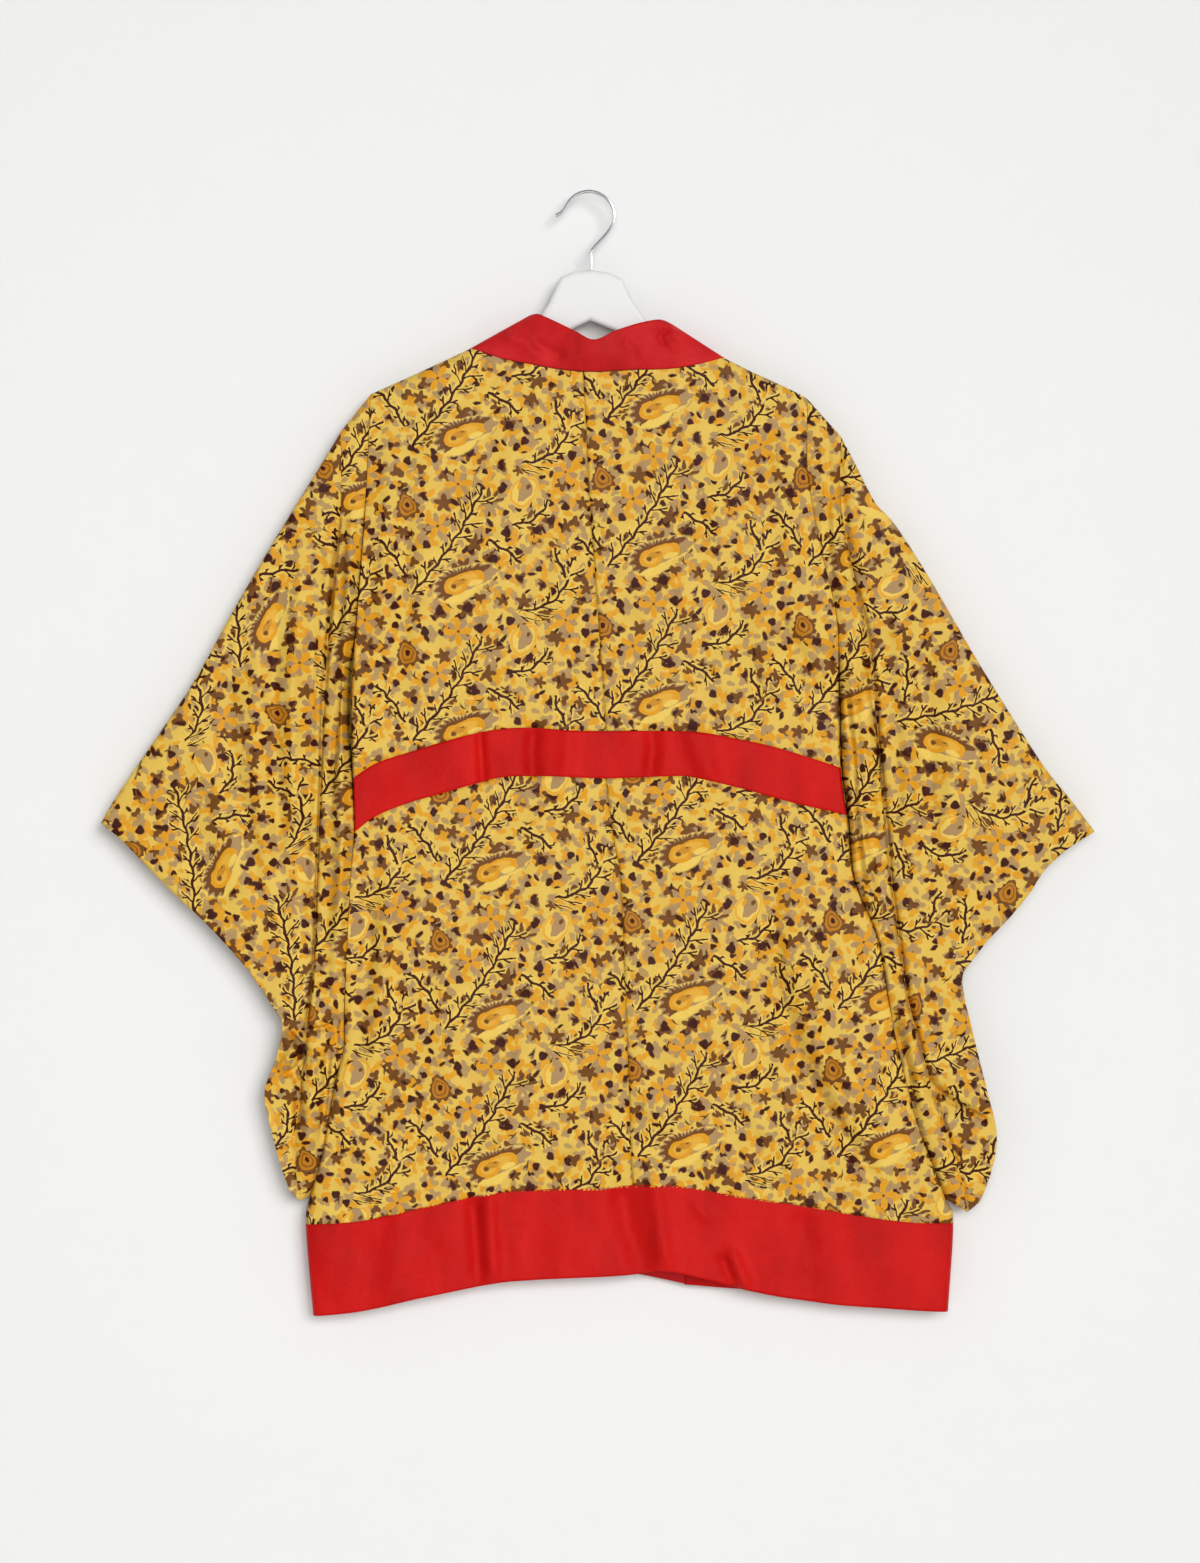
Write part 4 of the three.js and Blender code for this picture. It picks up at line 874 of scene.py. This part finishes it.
# Lower back: two panels of the printed cloth, cut apart from the upper ones, so the print jumps at the band.
# They are sewn together down the middle, and to the bands above and below.
seam_top, seam_bottom = 15.0, 40.0
lower_left = panel_shape([
    edge_across(WAIST_BOTTOM, WAIST_BOTTOM[0, 0], seam_top), edge_across(HEM_TOP, HEM_TOP[0, 0], seam_bottom),
    left_edge(WAIST_BOTTOM, HEM_TOP), edge_down(CENTRE_SEAM, WAIST_LOW_Z, HEM_TOP_Z)], lying_depth)
lower_right = panel_shape([
    edge_across(WAIST_BOTTOM, seam_top, WAIST_BOTTOM[-1, 0]),
    edge_across(HEM_TOP, seam_bottom, HEM_TOP[-1, 0]),
    edge_down(CENTRE_SEAM, WAIST_LOW_Z, HEM_TOP_Z), right_edge(WAIST_BOTTOM, HEM_TOP)], lying_depth)
for name, shape, side, start, flat in (
        ("lower_back_left", lower_left, "start", (-90, -782), (0.300, 0.400)),
        ("lower_back_right", lower_right, "end", (92, -764), (0.300, 0.400))):
    piece = cloth_piece(name, edge_steps(84, side), np.linspace(0, 1, 121), shape, CLOTH,
                        {"material": satin, "cut": print_from(start)}, [name])
    0.88 * flat[0] * flat[1]

# Hem band: a deep band of the red taffeta round the bottom, doubled, with its fold as the hem.
# This is its back half. The half under each front follows with the fronts.
hem = panel_shape([
    whole_edge(HEM_TOP), whole_edge(HEM_BOTTOM),
    left_edge(HEM_TOP, HEM_BOTTOM), right_edge(HEM_TOP, HEM_BOTTOM)], band_depth)
hem_piece = cloth_piece("hem_band_back", both_ends, np.linspace(0, 1, 29), hem, BAND,
                        {"material": taffeta, "cut": print_from((0, 0))}, ["hem_band_back"])

# Fronts: one panel of the printed cloth each side, from the shoulder fold to the hem band.
# They hang open down the middle, and the hem band carries on under each of them.
FRONT_EDGE_LEFT = smooth_line([
    NECK_LEFT, (-111, -166), (-100, -210), (-75, -330), (-48, -540), (-28, -780), (-18, -950), (-14, -1030)])
FRONT_EDGE_RIGHT = smooth_line([
    NECK_RIGHT, (126, -175), (118, -220), (99, -340), (84, -540), (82, -780), (86, -950), (90, -1040)])
FRONT_HEM_TOP_LEFT = smooth_line([(-270, -979), (-216, -974), (-148, -962), (-80, -953), (-18, -949)])
FRONT_HEM_TOP_RIGHT = smooth_line([(86, -953), (131, -958), (203, -966), (288, -975), (345, -978)])
FRONT_HEM_LEFT = smooth_line([(-263, -1066), (-216, -1059), (-163, -1048), (-103, -1037), (-14, -1027)])
FRONT_HEM_RIGHT = smooth_line([
    (90, -1038), (136, -1042), (179, -1046), (228, -1052), (276, -1057), (340, -1062)])
FRONT_CREASES = [
    ([(-190, -260), (-175, -450), (-195, -700)], 14, 4),
    ([(-120, -300), (-105, -520), (-100, -860)], 12, 3),
    ([(-200, -760), (-225, -880), (-238, -1010)], 11, -3),
    ([(-60, -700), (-66, -860), (-62, -1020)], 10, 3),
    ([(180, -270), (168, -450), (190, -680)], 15, 4),
    ([(130, -420), (132, -640), (140, -930)], 10, -3),
    ([(200, -740), (238, -860), (285, -1000)], 12, 4),
    ([(170, -880), (176, -960), (180, -1040)], 9, 3),
]


def front_depth(x, z, drop):
    return body_depth(FRONT_CREASES, x, z, 8) * np.maximum(turned(drop), 0.02)


def front_band_depth(x, z, _):
    return body_depth(FRONT_CREASES, x, z, 8)


FRONT_ROWS = FOLD_STEPS + list(np.linspace(0.035, 1, 70))
FRONTS = {
    "left": {"side": SIDE_LEFT, "opening": FRONT_EDGE_LEFT, "print": (-120, -420), "outer": 0, "inner": -1,
             "lines": (SHOULDER_LINE_LEFT, FRONT_HEM_TOP_LEFT, FRONT_HEM_LEFT)},
    "right": {"side": SIDE_RIGHT, "opening": FRONT_EDGE_RIGHT, "print": (150, -500), "outer": -1, "inner": 0,
              "lines": (SHOULDER_LINE_RIGHT, FRONT_HEM_TOP_RIGHT, FRONT_HEM_RIGHT)}}
for side_name, cut in FRONTS.items():
    is_left = side_name == "left"
    shoulder, hem_top, hem_low = cut["lines"]
    for part, upper, lower, depth, rows, wall, cloth, slot_name, flat, filled in (
            ("front_", shoulder, hem_top, front_depth, FRONT_ROWS, CLOTH, satin,
             "printed_cloth", (0.250, 0.820), 0.72),
            ("hem_band_front_", hem_top, hem_low, front_band_depth, np.linspace(0, 1, 13), BAND, taffeta,
             "red_cloth", (0.255, 0.088), 1.0)):
        name = part + side_name
        outer = edge_down(cut["side"], upper[cut["outer"], 1], lower[cut["outer"], 1])
        inner = edge_down(cut["opening"], upper[cut["inner"], 1], lower[cut["inner"], 1])
        sides = [outer, inner] if is_left else [inner, outer]
        shape = panel_shape([whole_edge(upper), whole_edge(lower), *sides], depth)
        piece = cloth_piece(name, edge_steps(48, "start" if is_left else "end"), rows, shape, wall,
                            {"material": cloth, "cut": print_from(cut["print"])}, [name],
                            face_out=False)
        filled * flat[0] * flat[1]

# Collar: a doubled band of the red taffeta, sewn round the neck and down both front edges in one length.
# At the back it stands up and rolls outwards, highest beside the neck and lowest in the middle.
COLLAR = 1.6
SEWN_IN = 0.4
SEWN_BEHIND = 0.5
# The collar's copy of the taffeta is painted lighter and pinker than the bands, with a wider spread, as
# painted sheen.
collar_taffeta_painted_sheen = red_cloth(
    "collar_taffeta_painted_sheen", (0.430, 0.009, 0.010), (0.545, 0.012, 0.014), (0.650, 0.019, 0.020))
# A row is a point of the rolled edge, x, y and z, and how far the collar swells below it.
COLLAR_ROWS = [
    (-57, -0.6, -116, 0), (-50, -6, -115.5, 2), (-43, -10, -118.5, 3), (-30, -14, -125, 4),
    (-13, -19, -134, 5), (4, -22, -142, 6), (24, -18, -133, 5), (45, -13, -125.5, 4), (62, -9, -121.5, 3),
    (70, -5, -121.5, 2), (78, -0.6, -124.5, 0)]
COLLAR_CREASES = [
    ([(62, -128), (74, -134), (82, -142)], 3, -4), ([(74, -128), (66, -138), (72, -148)], 2.5, -5),
    ([(82, -128), (78, -140), (82, -156)], 5, 3), ([(-57, -142), (-40, -152), (-22, -160)], 7, -5),
    ([(-84, -135), (-62, -144), (-44, -160)], 6, 4), ([(30, -140), (40, -152), (44, -164)], 6, -3)]


def smooth_rows(values, share):
    values = np.asarray(values, float)
    place = np.clip(share, 0, 1) * (len(values) - 1)
    first = np.minimum(np.floor(place).astype(int), len(values) - 2)
    t = place - first
    p0, p1 = values[np.maximum(first - 1, 0)], values[first]
    p2, p3 = values[first + 1], values[np.minimum(first + 2, len(values) - 1)]
    return p1 + 0.5 * t * (p2 - p0 + t * (2 * p0 - 5 * p1 + 4 * p2 - p3 + t * (3 * (p1 - p2) + p3 - p0)))


def collar_back_shape(along, up):
    sewn_x = NECK_LEFT[0] + SEWN_IN + (NECK_RIGHT[0] - NECK_LEFT[0] - 2 * SEWN_IN) * along
    sewn_z = height_at(NECK_SEAM, sewn_x)
    sewn_y = upper_back_depth(sewn_x, sewn_z, 0 * sewn_x) - SEWN_BEHIND
    free = [smooth_rows([row[axis] for row in COLLAR_ROWS], along) for axis in range(4)]
    x = sewn_x + (free[0] - sewn_x) * up
    z = sewn_z + (free[2] - sewn_z) * up
    swell = free[3] * np.sin(math.pi * up) + crease_height(COLLAR_CREASES, x, z) * np.sin(math.pi * up)
    return x, sewn_y + (free[1] - sewn_y) * up - swell, z


end_steps = [0, 0.004, 0.012, 0.022, 0.034]
collar_steps = end_steps + list(np.linspace(0.045, 0.955, 90)) + [1 - share for share in reversed(end_steps)]
collar_piece = cloth_piece("collar_back", collar_steps, np.linspace(1, 0, 25), collar_back_shape, COLLAR,
                           {"material": collar_taffeta_painted_sheen, "cut": print_from((0, 0))},
                           ["collar_back"])

# Down the fronts the free edge sinks from the ridge beside the neck, and its lower end is cut to a slope.
COLLAR_WIDTH = 49.0
RIDGE_SINKS = 34
END_SLOPE = 9.5
for side_name, opening, ridge, inward in (
        ("left", FRONT_EDGE_LEFT, COLLAR_ROWS[0], 1), ("right", FRONT_EDGE_RIGHT, COLLAR_ROWS[-1], -1)):
    from_z, to_z = float(opening[0][1]) + SEWN_IN, float(opening[-1][1]) + 3

    def collar_front_shape(along, out):
        z = from_z + (to_z - from_z) * along ** 1.6
        x = across_at(opening, z) + inward * 0.05
        turn = np.maximum(turned(from_z - z), 0.06)
        y = front_depth(x, z, 30 + 0 * z) * turn + 0.4
        rise = np.exp(-(from_z - z) / RIDGE_SINKS)
        free_x = x + inward * COLLAR_WIDTH
        free_x = free_x + (ridge[0] - free_x) * rise
        free_z = z + (ridge[2] - from_z) * rise + END_SLOPE * np.maximum(0, 8 * along - 7)
        free_y = 0.6 + (HALF_DEPTH + 1.9) * turned(from_z - z)
        swell = 2 * np.minimum(1, 8 * along) * np.sin(math.pi * out)
        return x + (free_x - x) * out, y + (free_y - y) * out + swell, z + (free_z - z) * out

    name = "collar_front_" + side_name
    out_steps = np.linspace(0, 1, 13) if inward > 0 else np.linspace(1, 0, 13)
    piece = cloth_piece(name, np.linspace(0, 1, 90), out_steps, collar_front_shape, COLLAR,
                        {"material": collar_taffeta_painted_sheen, "cut": print_from((0, 0), 90)},
                        [name, "collar_side_" + side_name])

# Sleeves: each is one wide piece of the printed cloth, folded along its top and open at armhole and cuff.
# The cloth beside the armhole gathers in long folds, and the outer part hangs out to the side as a wing.
SLEEVE_HALF_DEPTH = 11.0

# STRIP is the share of the width that lies between the armhole seam and the deep fold.
# A row holds a seam height, and [x, z] there on the deep fold and on the cuff. A fold row holds a height,
# the slope's depth and width, and the tuck's depth and width. A crease is a line, half width and height.
STRIP = 0.34
SLEEVE_LEFT = {
    "outward": -1, "side": SIDE_LEFT, "gap": GAP_LEFT,
    "top": [(-236, -226), (-259, -264), (-296, -324), (-336, -392), (-378, -467), (-430, -544), (-452, -577),
            (-464, -598)],
    "rows": [
        (-191, -236, -226, -464, -598), (-264, -236, -296, -443, -615), (-337, -243, -365, -416, -643),
        (-410, -249, -432, -391, -668), (-483, -254, -500, -368, -689), (-556, -256, -566, -343, -715),
        (-607, -258, -617, -325, -736), (-655, -260, -666, -312, -754), (-712, -262, -722, -301, -771),
        (-776, -268, -786, -291, -789), (-812, -271, -820, -297, -820), (-848, -276, -856, -308, -852),
        (-884, -279, -888, -304, -880), (-920, -279, -922, -292, -925), (-953, -275, -957, -282, -951)],
    "fold": [
        (-226, 0.5, 6, 0, 2), (-300, 3, 8, 1, 2), (-360, 8, 9, 9, 3.6), (-455, 8, 8, 10, 4.2),
        (-490, 5, 6, 9.5, 2.6), (-560, 3, 5, 9, 1.8), (-776, 3, 4, 8, 1.7), (-800, 2, 4, 4, 2),
        (-960, 1, 3, 1, 2)],
    "creases": [
        ([(-221, -300), (-232, -450), (-235, -540), (-234, -640), (-241, -760)], 7, 10),
        ([(-233, -455), (-238, -488), (-241, -520), (-243, -546), (-246, -590)], 3.0, -7),
        ([(-226, -300), (-229, -400), (-231, -450)], 4, 3),
        ([(-243, -330), (-246, -420), (-250, -470)], 6, 5),
        ([(-272, -350), (-282, -470), (-280, -620)], 7, 5),
        ([(-262, -400), (-264, -520), (-272, -700)], 5, -3),
        ([(-296, -380), (-300, -500), (-292, -660)], 6, -4),
        ([(-318, -420), (-316, -540), (-302, -680)], 9, 4),
        ([(-370, -500), (-345, -600), (-315, -700)], 14, 4),
        ([(-345, -450), (-335, -560), (-312, -650)], 8, -3),
        ([(-288, -793), (-280, -802), (-271, -812), (-272, -822), (-279, -831), (-292, -838)], 2.2, -12),
        ([(-294, -794), (-286, -805), (-281, -814), (-287, -824), (-300, -832)], 4.5, 6),
        ([(-287, -837), (-281, -836), (-277, -844), (-276, -858), (-277, -884)], 3.2, -10),
        ([(-262, -800), (-263, -840), (-266, -880), (-268, -920)], 6, 5),
        ([(-247, -806), (-249, -830), (-251, -860), (-256, -905)], 2.6, -10),
        ([(-250, -806), (-252, -860), (-257, -905)], 6, -3),
        ([(-241, -778), (-241, -800), (-242, -830)], 5, -8),
        ([(-268, -794), (-252, -793), (-237, -785)], 2.2, -9)],
    "front_creases": [
        ([(-232, -320), (-246, -480), (-250, -640), (-256, -750)], 11, 8),
        ([(-300, -380), (-312, -500), (-305, -640)], 18, 4),
        ([(-390, -530), (-360, -620), (-330, -700)], 15, 3)],
    "grain": 43.0, "print": (-304, -410), "strip_print": (-216, -430),
}
SLEEVE_RIGHT = {
    "outward": 1, "side": SIDE_RIGHT, "gap": GAP_RIGHT,
    "top": [(238, -231), (250, -254), (270, -293), (282, -306), (294, -321), (323, -367), (372, -451),
            (428, -540), (454, -573), (479, -606)],
    "rows": [
        (-195, 238, -231, 479, -606), (-265, 238, -295, 455, -621), (-335, 248, -352, 432, -641),
        (-405, 262, -412, 416, -665), (-475, 269, -474, 399, -686), (-546, 276, -540, 379, -707),
        (-591, 281, -592, 370, -718), (-650, 286, -650, 360, -731), (-705, 293, -706, 353, -742),
        (-765, 302, -765, 354, -760), (-805, 312, -805, 362, -795), (-850, 325, -850, 375, -848),
        (-890, 338, -890, 385, -892), (-926, 350, -928, 380, -928), (-956, 358, -968, 368, -960)],
    "fold": [
        (-231, 0.5, 6, 0, 2), (-330, 3, 8, 1, 2), (-405, 7, 8, 8, 3.4), (-430, 8, 8, 9.5, 4.4),
        (-482, 8, 8, 9.5, 4.0), (-520, 4, 6, 9, 2.2), (-740, 3, 4, 8, 1.9), (-800, 2, 4, 6, 2),
        (-960, 1, 3, 1, 2)],
    "creases": [
        ([(224, -260), (232, -340), (243, -400)], 6, 5),
        ([(247, -430), (251, -540), (258, -620), (268, -690), (284, -750)], 7, 10),
        ([(236, -244), (242, -312), (245, -332), (252, -359), (258, -371)], 3.5, -5),
        ([(224, -240), (227, -275), (226, -311), (228, -373)], 3.5, -4),
        ([(262, -480), (266, -560), (272, -640)], 4, 4),
        ([(242, -473), (249, -531), (252, -592), (258, -650), (269, -672)], 3.0, -7),
        ([(290, -380), (300, -500), (304, -640)], 8, 5),
        ([(312, -400), (322, -520), (322, -650)], 8, -3),
        ([(335, -430), (344, -540), (338, -660)], 10, 4),
        ([(385, -510), (372, -600), (352, -690)], 14, 4),
        ([(284, -309), (292, -322), (304, -330)], 4, -4),
        ([(313, -835), (326, -848), (342, -862), (358, -870), (378, -881)], 2.3, -11),
        ([(316, -842), (328, -854), (344, -868), (358, -876)], 6, -4),
        ([(318, -828), (334, -842), (350, -855), (372, -868)], 6, 5),
        ([(285, -772), (294, -806), (301, -828), (309, -887)], 4, -8),
        ([(296, -770), (306, -810), (318, -880)], 6, 4),
        ([(269, -672), (273, -690), (276, -714)], 3, -4)],
    "front_creases": [
        ([(240, -330), (254, -480), (262, -640), (276, -740)], 11, 8),
        ([(318, -400), (334, -520), (330, -640)], 18, 4),
        ([(410, -540), (388, -620), (366, -690)], 15, 3)],
    "grain": -40.0, "print": (334, -524), "strip_print": (254, -344),
}


def sleeve_piece(name, cut, seed):
    outward, side = cut["outward"], cut["side"]
    table = np.array(cut["rows"], float)
    seam_z, fold_x, fold_z, cuff_x, cuff_z = table.T
    top = smooth_line(cut["top"])
    top_length = np.concatenate([[0], np.cumsum(np.hypot(*np.diff(top, axis=0).T))])

    def place(across, down):
        z = np.interp(down, np.linspace(0, 1, len(seam_z)), seam_z)
        seam = np.array([across_at(side, z) + outward * 0.2, z])
        fold = np.array([smooth_rows(fold_x, down), smooth_rows(fold_z, down)])
        cuff = np.array([smooth_rows(cuff_x, down), smooth_rows(cuff_z, down)])
        strip = seam + (fold - seam) * np.clip(across / STRIP, 0, 1)
        share = np.clip((across - STRIP) / (1 - STRIP), 0, 1)
        reach = share * top_length[-1]
        on_top = np.array([np.interp(reach, top_length, top[:, 0]), np.interp(reach, top_length, top[:, 1])])
        straight = top[0][:, None] + (top[-1] - top[0])[:, None] * share
        wing = fold + (cuff - fold) * share + (on_top - straight) * np.maximum(0, 1 - 3 * down)
        return np.where(across <= STRIP, strip, wing), seam, fold

    def shape(across, round_share):
        is_back = round_share <= 0.5
        down = np.where(is_back, 2 * round_share, 2 - 2 * round_share)
        (x, z), seam, fold = place(across, down)
        length = np.hypot(*(place(across, 0 * down)[0] - place(across, 0 * down + 1)[0]))
        ends = turned(down * length) * turned((1 - down) * length)
        seam_half = HALF_DEPTH * (1 - drawn_in(z) * (1 - SIDE_HALF_DEPTH / HALF_DEPTH))
        distance = np.abs(x - seam[0])
        groove = seam_height(distance, cut["gap"], z, 1.2)
        half = (seam_half + (SLEEVE_HALF_DEPTH - seam_half) * turned(distance, 14)) * groove
        from_fold = np.hypot(x - fold[0], z - fold[1])
        deep, wide, tuck_deep, tuck_wide = read_row(cut["fold"], z)
        slope = deep * np.exp(-(from_fold / wide) ** 2) * np.where(across > STRIP, 1, 0.3)
        valley = -slope - tuck_deep * np.exp(-(from_fold / tuck_wide) ** 2)
        gape = read_row(cut["gap"], z)[2] * np.exp(-(distance / 6) ** 2)
        rise = (crease_height(cut["creases"], x, z) + ripple(x, z, seed, 0.6)) * turned(distance, 9) + valley
        front_rise = crease_height(cut["front_creases"], x, z) * turned(distance, 6)
        height = np.maximum(half + np.where(is_back, rise, front_rise), 1.6)
        return x + np.where(is_back, outward * gape, 0), np.where(is_back, -1, 1) * height * ends, z

    strip_columns = [0, 0.002, 0.006, 0.012, 0.02] + list(np.linspace(0.03, STRIP - 0.03, 24))
    strip_columns += [STRIP - share for share in (0.022, 0.015, 0.009, 0.004)] + [STRIP]
    wing = [0.0015, 0.0035, 0.006, 0.009, 0.013, 0.018, 0.024] + list(np.linspace(0.032, 1, 80))
    columns = strip_columns + [STRIP + (1 - STRIP) * share for share in wing]
    back_rows = [0, 0.0012, 0.0035, 0.007, 0.012] + list(np.linspace(0.018, 0.62, 76))[:-1]
    back_rows += list(np.linspace(0.62, 0.985, 116)) + [0.993, 0.998, 1]
    front_rows = [0.998, 0.99, 0.97] + list(np.linspace(0.95, 0.03, 44)) + [0.015, 0.006, 0.002, 0]
    rounds = [share / 2 for share in back_rows] + [1 - share / 2 for share in front_rows]
    strip_cut, wing_cut = print_from(cut["strip_print"]), print_from(cut["print"], cut["grain"])

    def cut_place(x, z, across):
        return strip_cut(x, z, across) if across < STRIP else wing_cut(x, z, across)

    piece = cloth_piece(name, columns, rounds, shape, CLOTH, {"material": satin, "cut": cut_place},
                        [name], round_it=True, face_out=outward > 0)


sleeve_piece("sleeve_left", SLEEVE_LEFT, 11)
sleeve_piece("sleeve_right", SLEEVE_RIGHT, 12)
